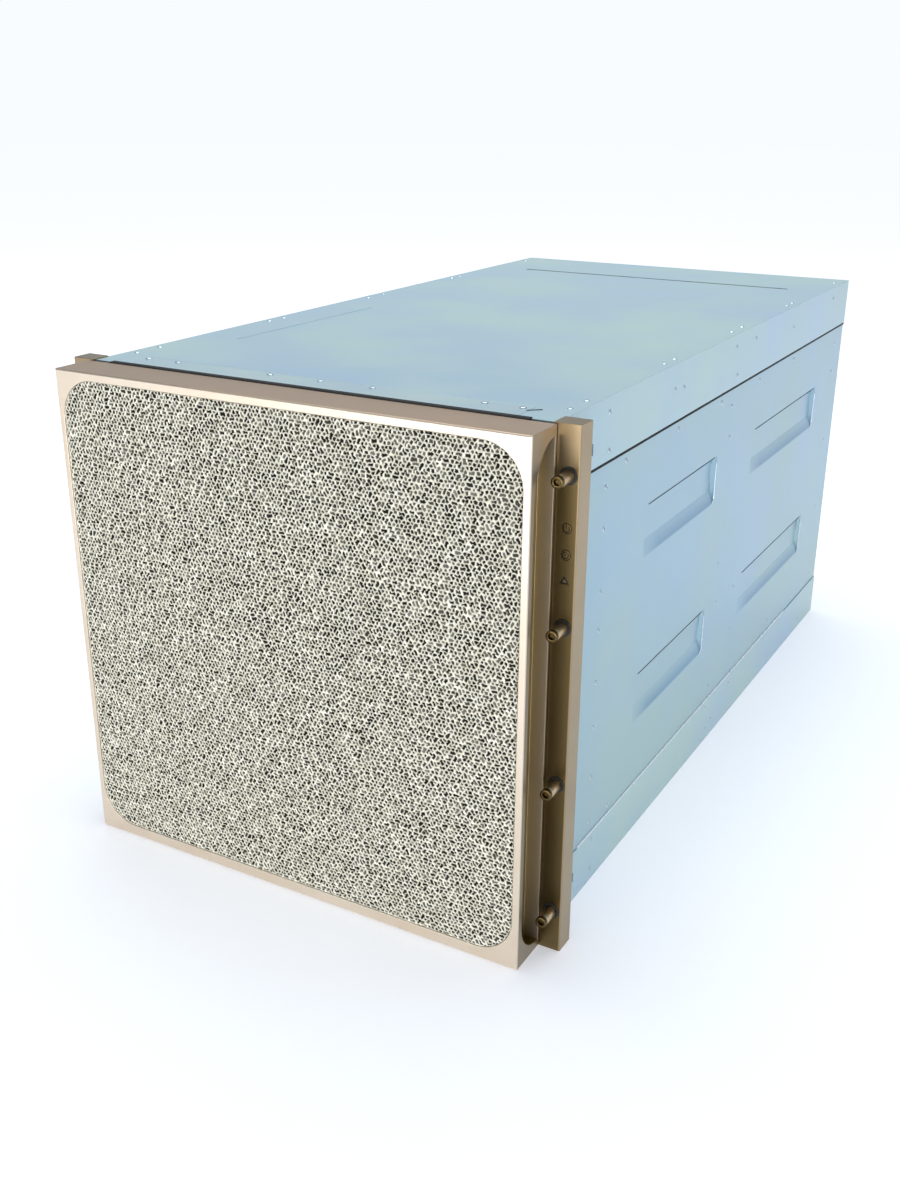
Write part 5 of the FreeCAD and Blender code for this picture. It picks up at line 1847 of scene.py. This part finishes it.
def fin_stack(shape: Shape, low: Vector, high: Vector, base: float, fins: int, fin: float) -> None:
    """Add a heat sink: a base plate under a row of fins along the air flow.

    Args:
        shape: Shape that gets it.
        low: Lowest corner.
        high: Highest corner.
        base: Thickness of the plate.
        fins: Number of fins.
        fin: Thickness of a fin.
    """
    shape.box(low, (high.x, high.y, low.z + base), SINK_SOFT)
    step = (high.x - low.x - fin) / (fins - 1)
    for i in range(fins):
        x = low.x + i * step
        shape.box((x, low.y, low.z + base - FIN_ROOT), (x + fin, high.y, high.z))


def package(shape: Shape, foot: tuple, size: tuple, soft: float = PACKAGE_SOFT) -> None:
    """Add a moulded package that stands on a board.

    Args:
        shape: Shape that gets it.
        foot: Middle of its foot.
        size: Its width, depth and height.
        soft: Rounding of its edges.
    """
    x, y, z = foot
    half_x, half_y = size[0] / 2, size[1] / 2
    shape.box((x - half_x, y - half_y, z), (x + half_x, y + half_y, z + size[2]), soft)


def punched_screens(kit: Kit, body: str, width: float, height: float, places: list) -> None:
    """Make the punched screens in the windows of a tray's rear wall.

    Args:
        kit: The frame.
        body: The tray.
        width: Width of a screen.
        height: Height of a screen.
        places: Middle of each screen.
    """
    sheet = CellSheet(width, height, SCREEN_CORNER, SCREEN_PITCH, (SCREEN_SHARE, SCREEN_SHARE))
    screens = Shape()
    for place in places:
        before = set(screens.bm.verts)
        screens.take(sheet.punched(SCREEN_SHEET))
        made = [v for v in screens.bm.verts if v not in before]
        bmesh.ops.translate(screens.bm, vec=place, verts=made)
    kit.piece(screens, f"{body}_screens", body, ZINC)


def coated_levers(kit: Kit, tray: str) -> None:
    """Make the two levers of a tray.

    Args:
        kit: The frame.
        tray: The tray's word in the names of its levers.
    """
    for side in ("left", "right"):
        node = f"{side}_{tray}_lever"
        kit.piece(kit.copy(node).soften(LEVER_EDGE), f"{node}_coated", node, POWDER, node)


@dataclass
class GpuTray:
    """Accelerator tray: vented rear wall, board, tall heat sinks and two levers."""

    columns: int = 4
    vent: float = 85.0
    vent_pitch: float = 100.0
    vent_row_gap: float = 50.0
    board_to_wall: float = 25.0
    screen_sunk: float = 0.75
    fins: int = 22
    fin: float = 0.8
    base: float = 8.0
    part_seed: int = 3
    column_parts: int = 6
    part_pitch: float = 16.0
    edge_row: float = 14.0
    middle_row: float = 12.0
    chip_share: float = 0.7
    chip: tuple[float, float, float] = (10.0, 8.0, 2.2)
    # Can of a capacitor: radius, and height above the board.
    can: Outline = ((0, 8), (3.2, 8), (4, 7.4), (4, 0.8), (3.4, 0), (0, 0))
    can_steps: int = 16

    def build(self, kit: Kit) -> None:
        """Make the tray and what it carries.

        Args:
            kit: The frame.
        """
        kit.dress("gpu_tray", ZINC)
        kit.dress("gpu_board", MASK)
        self.vents(kit)
        self.sinks(kit)
        self.parts(kit)
        coated_levers(kit, "gpu")

    def column_x(self, column: int) -> float:
        """Middle of a column of windows and parts."""
        return (column - (self.columns - 1) / 2) * self.vent_pitch

    def vents(self, kit: Kit) -> None:
        """Make the punched screens in two rows of windows.

        Args:
            kit: The frame.
        """
        lever = kit.box("right_gpu_lever")
        middle = (lever[0].z + lever[1].z) / 2
        y = kit.box("gpu_board")[1].y + self.board_to_wall - self.screen_sunk
        rise = (self.vent + self.vent_row_gap) / 2
        places = []
        for column in range(self.columns):
            places += [(self.column_x(column), y, middle + row * rise) for row in (-1, 1)]
        punched_screens(kit, "gpu_tray", self.vent, self.vent, places)

    def sinks(self, kit: Kit) -> None:
        """Make the finned heat sinks.

        Args:
            kit: The frame.
        """
        stacks = Shape()
        for low, high in kit.islands("gpu_heat_sinks"):
            fin_stack(stacks, low, high, self.base, self.fins, self.fin)
        kit.piece(stacks, "gpu_fin_stacks", "gpu_tray", FIN, "gpu_heat_sinks")

    def parts(self, kit: Kit) -> None:
        """Make the packages and cans on the board.

        Args:
            kit: The frame.
        """
        low, high = kit.box("gpu_board")
        middle = (low.y + high.y) / 2
        rows = [low.y + self.edge_row, middle - self.middle_row]
        rows += [middle + self.middle_row, high.y - self.edge_row]
        rng = random.Random(self.part_seed)
        chips = Shape()
        cans = Shape()
        for column in range(self.columns):
            for i in range(self.column_parts):
                x = self.column_x(column) + (i - (self.column_parts - 1) / 2) * self.part_pitch
                for y in rows:
                    if rng.random() < self.chip_share:
                        package(chips, (x, y, high.z), self.chip)
                    else:
                        cans.turned(self.can, (x, y, high.z), UP, self.can_steps)
        kit.piece(chips, "gpu_board_packages", "gpu_tray", CHIP)
        kit.piece(cans, "gpu_board_cans", "gpu_tray", TIN)


@dataclass
class MotherboardTray:
    """Motherboard tray: vents and network cards at the rear, processors and memory inside."""

    vent_width: float = 80.0
    vent_height: float = 46.0
    vent_x: float = 160.0
    screen_from_cards: float = 3.75
    card_edge: float = 0.4
    base: float = 6.0
    fins: int = 20
    fin: float = 0.8
    chips: int = 9
    chip_margin: float = 5.0
    chip_gap: float = 1.0
    chip_rise: float = 0.9
    chip_heights: tuple[float, float] = (11.0, 25.0)
    chip_soft: float = 0.2
    catch_reach: tuple[float, float] = (0.4, 6.0)
    catch_side: float = 0.8
    catch_height: float = 20.0
    catch_soft: float = 0.6
    socket_wall: float = 1.0
    socket_overlap: float = 0.05
    socket_end: float = 1.0
    socket_height: float = 6.0
    socket_soft: float = 0.3
    row_parts: int = 16
    row_margin: float = 30.0
    # Can of a capacitor: radius, and height above the board.
    can: Outline = ((0, 7), (2.6, 7), (3.2, 6.5), (3.2, 0.7), (2.7, 0), (0, 0))
    can_row: float = 16.0
    can_steps: int = 14
    front_chip: tuple[float, float, float] = (10.0, 10.0, 2.4)
    front_row: float = 31.0
    rear_chip: tuple[float, float, float] = (8.0, 10.0, 2.0)
    rear_row: float = 17.0
    switch_chip: tuple[float, float, float] = (36.0, 36.0, 3.0)
    switch_place: tuple[float, float] = (0.0, -2.0)
    switch_soft: float = 0.5

    def build(self, kit: Kit) -> None:
        """Make the tray and what it carries.

        Args:
            kit: The frame.
        """
        kit.dress("mb_tray", ZINC)
        kit.dress("motherboard", MASK)
        kit.dress("memory_modules", MASK)
        cards = kit.copy("network_cards").soften(self.card_edge)
        kit.piece(cards, "network_cards_caged", "mb_tray", NICKEL, "network_cards", flat=True)
        stacks = Shape()
        for low, high in kit.islands("cpu_heat_sinks"):
            fin_stack(stacks, low, high, self.base, self.fins, self.fin)
        kit.piece(stacks, "cpu_fin_stacks", "mb_tray", FIN, "cpu_heat_sinks")
        self.memory(kit)
        self.parts(kit)
        self.vents(kit)
        coated_levers(kit, "mb")

    def memory(self, kit: Kit) -> None:
        """Make the chips on the memory modules, and the sockets and catches that hold them.

        Args:
            kit: The frame.
        """
        chips = Shape()
        sockets = Shape()
        foot, head = self.chip_heights
        near, far = self.catch_reach
        wall, overlap = self.socket_wall, self.socket_overlap
        for low, high in kit.islands("memory_modules"):
            step = (high.y - low.y - 2 * self.chip_margin) / self.chips
            for i in range(self.chips):
                y = low.y + self.chip_margin + i * step
                start = (low.x - self.chip_rise, y + self.chip_gap, low.z + foot)
                end = (high.x + self.chip_rise, y + step - self.chip_gap, low.z + head)
                chips.box(start, end, self.chip_soft)
            for y0, y1 in ((low.y - far, low.y - near), (high.y + near, high.y + far)):
                top = low.z + self.catch_height
                start = (low.x - self.catch_side, y0, low.z)
                sockets.box(start, (high.x + self.catch_side, y1, top), self.catch_soft)
            for x0, x1 in ((low.x - wall, low.x + overlap), (high.x - overlap, high.x + wall)):
                top = low.z + self.socket_height
                start = (x0, low.y - self.socket_end, low.z)
                sockets.box(start, (x1, high.y + self.socket_end, top), self.socket_soft)
        kit.piece(chips, "memory_chips", "mb_tray", CHIP)
        kit.piece(sockets, "memory_sockets", "mb_tray", CONNECTOR)

    def parts(self, kit: Kit) -> None:
        """Make the packages and cans on the board.

        Args:
            kit: The frame.
        """
        low, high = kit.box("motherboard")
        step = (high.x - low.x - 2 * self.row_margin) / (self.row_parts - 1)
        chips = Shape()
        cans = Shape()
        for i in range(self.row_parts):
            x = low.x + self.row_margin + i * step
            cans.turned(self.can, (x, low.y + self.can_row, high.z), UP, self.can_steps)
            package(chips, (x, low.y + self.front_row, high.z), self.front_chip)
            package(chips, (x, high.y - self.rear_row, high.z), self.rear_chip)
        package(chips, (*self.switch_place, high.z), self.switch_chip, self.switch_soft)
        kit.piece(chips, "motherboard_packages", "mb_tray", CHIP)
        kit.piece(cans, "motherboard_cans", "mb_tray", TIN)

    def vents(self, kit: Kit) -> None:
        """Make the punched screens beside the cards.

        Args:
            kit: The frame.
        """
        low, high = kit.box("network_cards")
        y = high.y - self.screen_from_cards
        z = low.z + self.vent_height / 2
        places = [(side * self.vent_x, y, z) for side in (-1, 1)]
        punched_screens(kit, "mb_tray", self.vent_width, self.vent_height, places)


@dataclass
class PowerBank:
    """Six power supplies in a row, each with a fan grille, an inlet and a release latch."""

    supplies: int = 6
    case_edge: float = 0.5
    latch_edge: float = 0.4
    wall_from_tray: float = 702.2
    steps: int = 40
    grille_x: float = -16.0
    grille_radius: float = 17.0
    opening_rise: float = 0.15
    opening_edge: float = 0.4
    rings: tuple[float, ...] = (4.5, 8.5, 12.5, 16.5)
    wire: float = 0.6
    wire_lift: float = 0.7
    wire_turns: tuple[float, ...] = (45.0, 135.0)
    inlet_x: float = 14.5
    inlet_half: tuple[float, float] = (10.4, 15.4)
    rim_half: float = 0.9
    rim_reach: tuple[float, float] = (11.0, 16.0)
    rim_sunk: float = 2.0
    rim_rise: float = 0.8
    rim_soft: float = 0.3
    pin_places: tuple[tuple[float, float], ...] = ((-4, -7), (-4, 7), (4, 0))
    pin_half: tuple[float, float] = (1.0, 2.5)
    pin_depths: tuple[float, float] = (18.0, 4.0)
    pin_soft: float = 0.5

    def build(self, kit: Kit) -> None:
        """Make every supply.

        Args:
            kit: The frame.
        """
        wall = kit.box("gpu_tray")[0].y + self.wall_from_tray
        for number in range(1, self.supplies + 1):
            node = f"power_supply_{number}"
            latch = f"power_supply_latch_{number}"
            case = kit.copy(node).soften(self.case_edge)
            kit.piece(case, f"{node}_case", node, CASE, node, flat=True)
            moulded = kit.copy(latch).soften(self.latch_edge)
            kit.piece(moulded, f"{latch}_moulded", latch, LATCH, latch)
            low, high = kit.box(node)
            x, z = (low.x + high.x) / 2, (low.z + high.z) / 2
            self.grille(kit, node, Vector((x + self.grille_x, wall, z)))
            self.inlet(kit, node, Vector((x + self.inlet_x, wall, z)))

    def grille(self, kit: Kit, node: str, middle: Vector) -> None:
        """Make the fan opening of one supply and the wire grille in front of it.

        Args:
            kit: The frame.
            node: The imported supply.
            middle: Middle of the opening, on the rear wall.
        """
        r, rise = self.grille_radius, self.opening_rise
        opening = Shape()
        profile = [(0, rise), (r, rise), (r + self.opening_edge, 0), (0, 0)]
        opening.turned(profile, middle, REAR, self.steps)
        kit.piece(opening, f"{node}_fan_opening", node, SOCKET)
        grille = Shape()
        lifted = middle + REAR * self.wire_lift
        for radius in self.rings:
            grille.wire_ring(lifted, REAR, radius, self.wire, self.steps)
        for turn in self.wire_turns:
            angle = math.radians(turn)
            arm = Vector((math.cos(angle), 0, math.sin(angle))) * self.rings[-1]
            grille.rod(lifted - arm, lifted + arm, self.wire)
        kit.piece(grille, f"{node}_grille", node, CASE)

    def inlet(self, kit: Kit, node: str, middle: Vector) -> None:
        """Make the rim and the pins of one supply's inlet.

        Args:
            kit: The frame.
            node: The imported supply.
            middle: Middle of the inlet, on the rear wall.
        """
        x, wall, z = middle
        front, back = wall - self.rim_sunk, wall + self.rim_rise
        reach_x, reach_z = self.rim_reach
        half = self.rim_half
        rim = Shape()
        for bar in (x - self.inlet_half[0], x + self.inlet_half[0]):
            rim.box((bar - half, front, z - reach_z), (bar + half, back, z + reach_z), self.rim_soft)
        for bar in (z - self.inlet_half[1], z + self.inlet_half[1]):
            rim.box((x - reach_x, front, bar - half), (x + reach_x, back, bar + half), self.rim_soft)
        kit.piece(rim, f"{node}_inlet_rim", node, SOCKET)
        pins = Shape()
        start, end = (wall - depth for depth in self.pin_depths)
        half_x, half_z = self.pin_half
        for right, up in self.pin_places:
            low = (x + right - half_x, start, z + up - half_z)
            pins.box(low, (x + right + half_x, end, z + up + half_z), self.pin_soft)
        kit.piece(pins, f"{node}_pins", node, PIN)


@dataclass(frozen=True)
class PhotoCamera:
    """Camera at the photograph's place."""

    focal_pixels: float = 1282.9
    frame_height: float = 1200.0
    sensor: float = 36.0
    eye: tuple[float, float, float] = (593.3, -1216.1, 661.3)
    azimuth: float = 29.489
    elevation: float = 21.708
    roll: float = 0.287
    clip_end: float = 100.0

    def build(self) -> None:
        """Make the camera and use it."""
        angles = (self.azimuth, self.elevation, self.roll)
        azimuth, elevation, roll = (math.radians(angle) for angle in angles)
        level = math.cos(elevation)
        look = Vector((-math.sin(azimuth) * level, math.cos(azimuth) * level, -math.sin(elevation)))
        right = look.cross(UP).normalized()
        rise = right.cross(look)
        across = right * math.cos(roll) + rise * math.sin(roll)
        over = rise * math.cos(roll) - right * math.sin(roll)
        data = bpy.data.cameras.new("photo_camera")
        data.sensor_width = self.sensor
        data.lens = self.focal_pixels * self.sensor / self.frame_height
        data.clip_end = self.clip_end
        camera = bpy.data.objects.new("photo_camera", data)
        turn = Matrix((across, over, -look)).transposed().to_4x4()
        camera.matrix_world = Matrix.Translation(Vector(self.eye) * MM) @ turn
        bpy.context.scene.collection.objects.link(camera)
        bpy.context.scene.camera = camera


@dataclass(frozen=True)
class Lamp:
    """A soft rectangular lamp, in metres."""

    name: str
    place: tuple[float, float, float]
    target: tuple[float, float, float]
    width: float
    height: float
    power: float

    def build(self) -> None:
        """Hang the lamp and turn it to its target."""
        data = bpy.data.lights.new(self.name, "AREA")
        data.shape = "RECTANGLE"
        data.size = self.width
        data.size_y = self.height
        data.energy = self.power
        lamp = bpy.data.objects.new(self.name, data)
        lamp.location = self.place
        aim = Vector(self.target) - Vector(self.place)
        lamp.rotation_euler = aim.to_track_quat("-Z", "Y").to_euler()
        lamp.visible_camera = False
        bpy.context.scene.collection.objects.link(lamp)


@dataclass
class Studio:
    """A pale floor, soft lamps, and a dim room with a white horizon."""

    floor_radius: float = 16.0
    floor_rings: int = 16
    floor_steps: int = 64
    floor_colour: str = "EEF2F5"
    floor_roughness: float = 0.95
    floor_specular: float = 0.1
    white: str = "F8FCFF"
    glow_colour: str = "FBF9FF"
    glow_reach: tuple[float, float] = (0.7, 3.2)
    glow: tuple[float, float] = (0.36, 0.7)
    room_colour: str = "DCE9F8"
    room: float = 0.43
    horizon: tuple[float, float] = (0.1, 0.24)
    lamps: tuple[Lamp, ...] = (
        Lamp("front_lamp", (0.4, -2.9, 0.23), (0.0, -0.45, 0.23), 4.0, 0.42, 52.0),
        Lamp("top_lamp", (-0.3, 0.5, 2.9), (0.0, 0.1, 0.4), 2.6, 2.6, 57.0),
        Lamp("side_lamp", (2.4, -1.3, 1.3), (0.2, -0.3, 0.2), 1.6, 1.6, 4.0),
    )

    def build(self) -> None:
        """Make the floor, the lamps and the room."""
        bpy.context.scene.view_settings.view_transform = "Standard"
        self.floor()
        for lamp in self.lamps:
            lamp.build()
        world = bpy.data.worlds.new("studio_room")
        bpy.context.scene.world = world
        world.use_nodes = True
        self.sky(world.node_tree)

    def seen(self, tree: bpy.types.NodeTree) -> bpy.types.NodeSocket:
        """One for rays that show a surface to the camera, straight or by a mirror or glass.

        Args:
            tree: The node tree.

        Returns:
            The socket.
        """
        rays = add_node(tree, "ShaderNodeLightPath")
        seen = rays.outputs["Is Camera Ray"]
        for name in ("Is Glossy Ray", "Is Transmission Ray"):
            either = add_node(
                tree, "ShaderNodeMath", {"operation": "MAXIMUM"}, {0: seen, 1: rays.outputs[name]}
            )
            seen = either.outputs[0]
        return seen

    def sky(self, tree: bpy.types.NodeTree) -> None:
        """Dim light all round, and white near the horizon where the room is seen.

        Args:
            tree: The world's nodes.
        """
        place = add_node(tree, "ShaderNodeTexCoord").outputs["Generated"]
        parts = add_node(tree, "ShaderNodeSeparateXYZ", inputs={"Vector": place})
        low, high = self.horizon
        white = ramp(tree, parts.outputs["Z"], (high, low), soft=True)
        share = add_node(
            tree,
            "ShaderNodeMath",
            {"operation": "MULTIPLY"},
            {0: white, 1: self.seen(tree)},
        ).outputs[0]
        colour = mix(tree, share, linear(self.room_colour), linear(self.white))
        strength = ramp(tree, share, (0.0, 1.0), (self.room, 1.0))
        sky = tree.nodes["Background"]
        tree.links.new(colour, sky.inputs["Color"])
        tree.links.new(strength, sky.inputs["Strength"])

    def floor(self) -> None:
        """Make the floor of matt paint, which glows where it is seen, most beyond the lamps' reach."""
        disc = Shape()
        shares = [i / self.floor_rings for i in range(self.floor_rings + 1)]
        rings = [(self.floor_radius * share**2, 0) for share in shares]
        disc.turned(rings, (0, 0, 0), UP, self.floor_steps)
        bmesh.ops.reverse_faces(disc.bm, faces=[f for f in disc.bm.faces if f.normal.z < 0])
        mesh = bpy.data.meshes.new("studio_floor")
        disc.bm.to_mesh(mesh)
        disc.bm.free()
        material = bpy.data.materials.new("matt_studio_paint")
        material.use_nodes = True
        tree = material.node_tree
        shader = tree.nodes["Principled BSDF"]
        shader.inputs["Base Color"].default_value = linear(self.floor_colour)
        shader.inputs["Roughness"].default_value = self.floor_roughness
        shader.inputs["Specular IOR Level"].default_value = self.floor_specular
        shader.inputs["Emission Color"].default_value = linear(self.glow_colour)
        place = add_node(tree, "ShaderNodeTexCoord").outputs["Object"]
        far = add_node(tree, "ShaderNodeVectorMath", {"operation": "LENGTH"}, {0: place})
        glow = ramp(tree, far.outputs["Value"], self.glow_reach, self.glow)
        strength = add_node(
            tree, "ShaderNodeMath", {"operation": "MULTIPLY"}, {0: glow, 1: self.seen(tree)}
        )
        tree.links.new(strength.outputs[0], shader.inputs["Emission Strength"])
        mesh.materials.append(material)
        floor = bpy.data.objects.new("studio_floor", mesh)
        bpy.context.scene.collection.objects.link(floor)
        floor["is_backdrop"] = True


def main() -> None:
    """Build every sub-assembly in order and note the model's size."""
    logging.basicConfig(level=logging.INFO, format="%(message)s")
    kit = Kit()
    PhotoCamera().build()
    Studio().build()
    outside = (Bezel(), RackEars(), Chassis())
    inside = (FrontBay(), GpuTray(), MotherboardTray(), PowerBank())
    for part in outside + inside:
        part.build(kit)


if __name__ == "__main__":
    main()
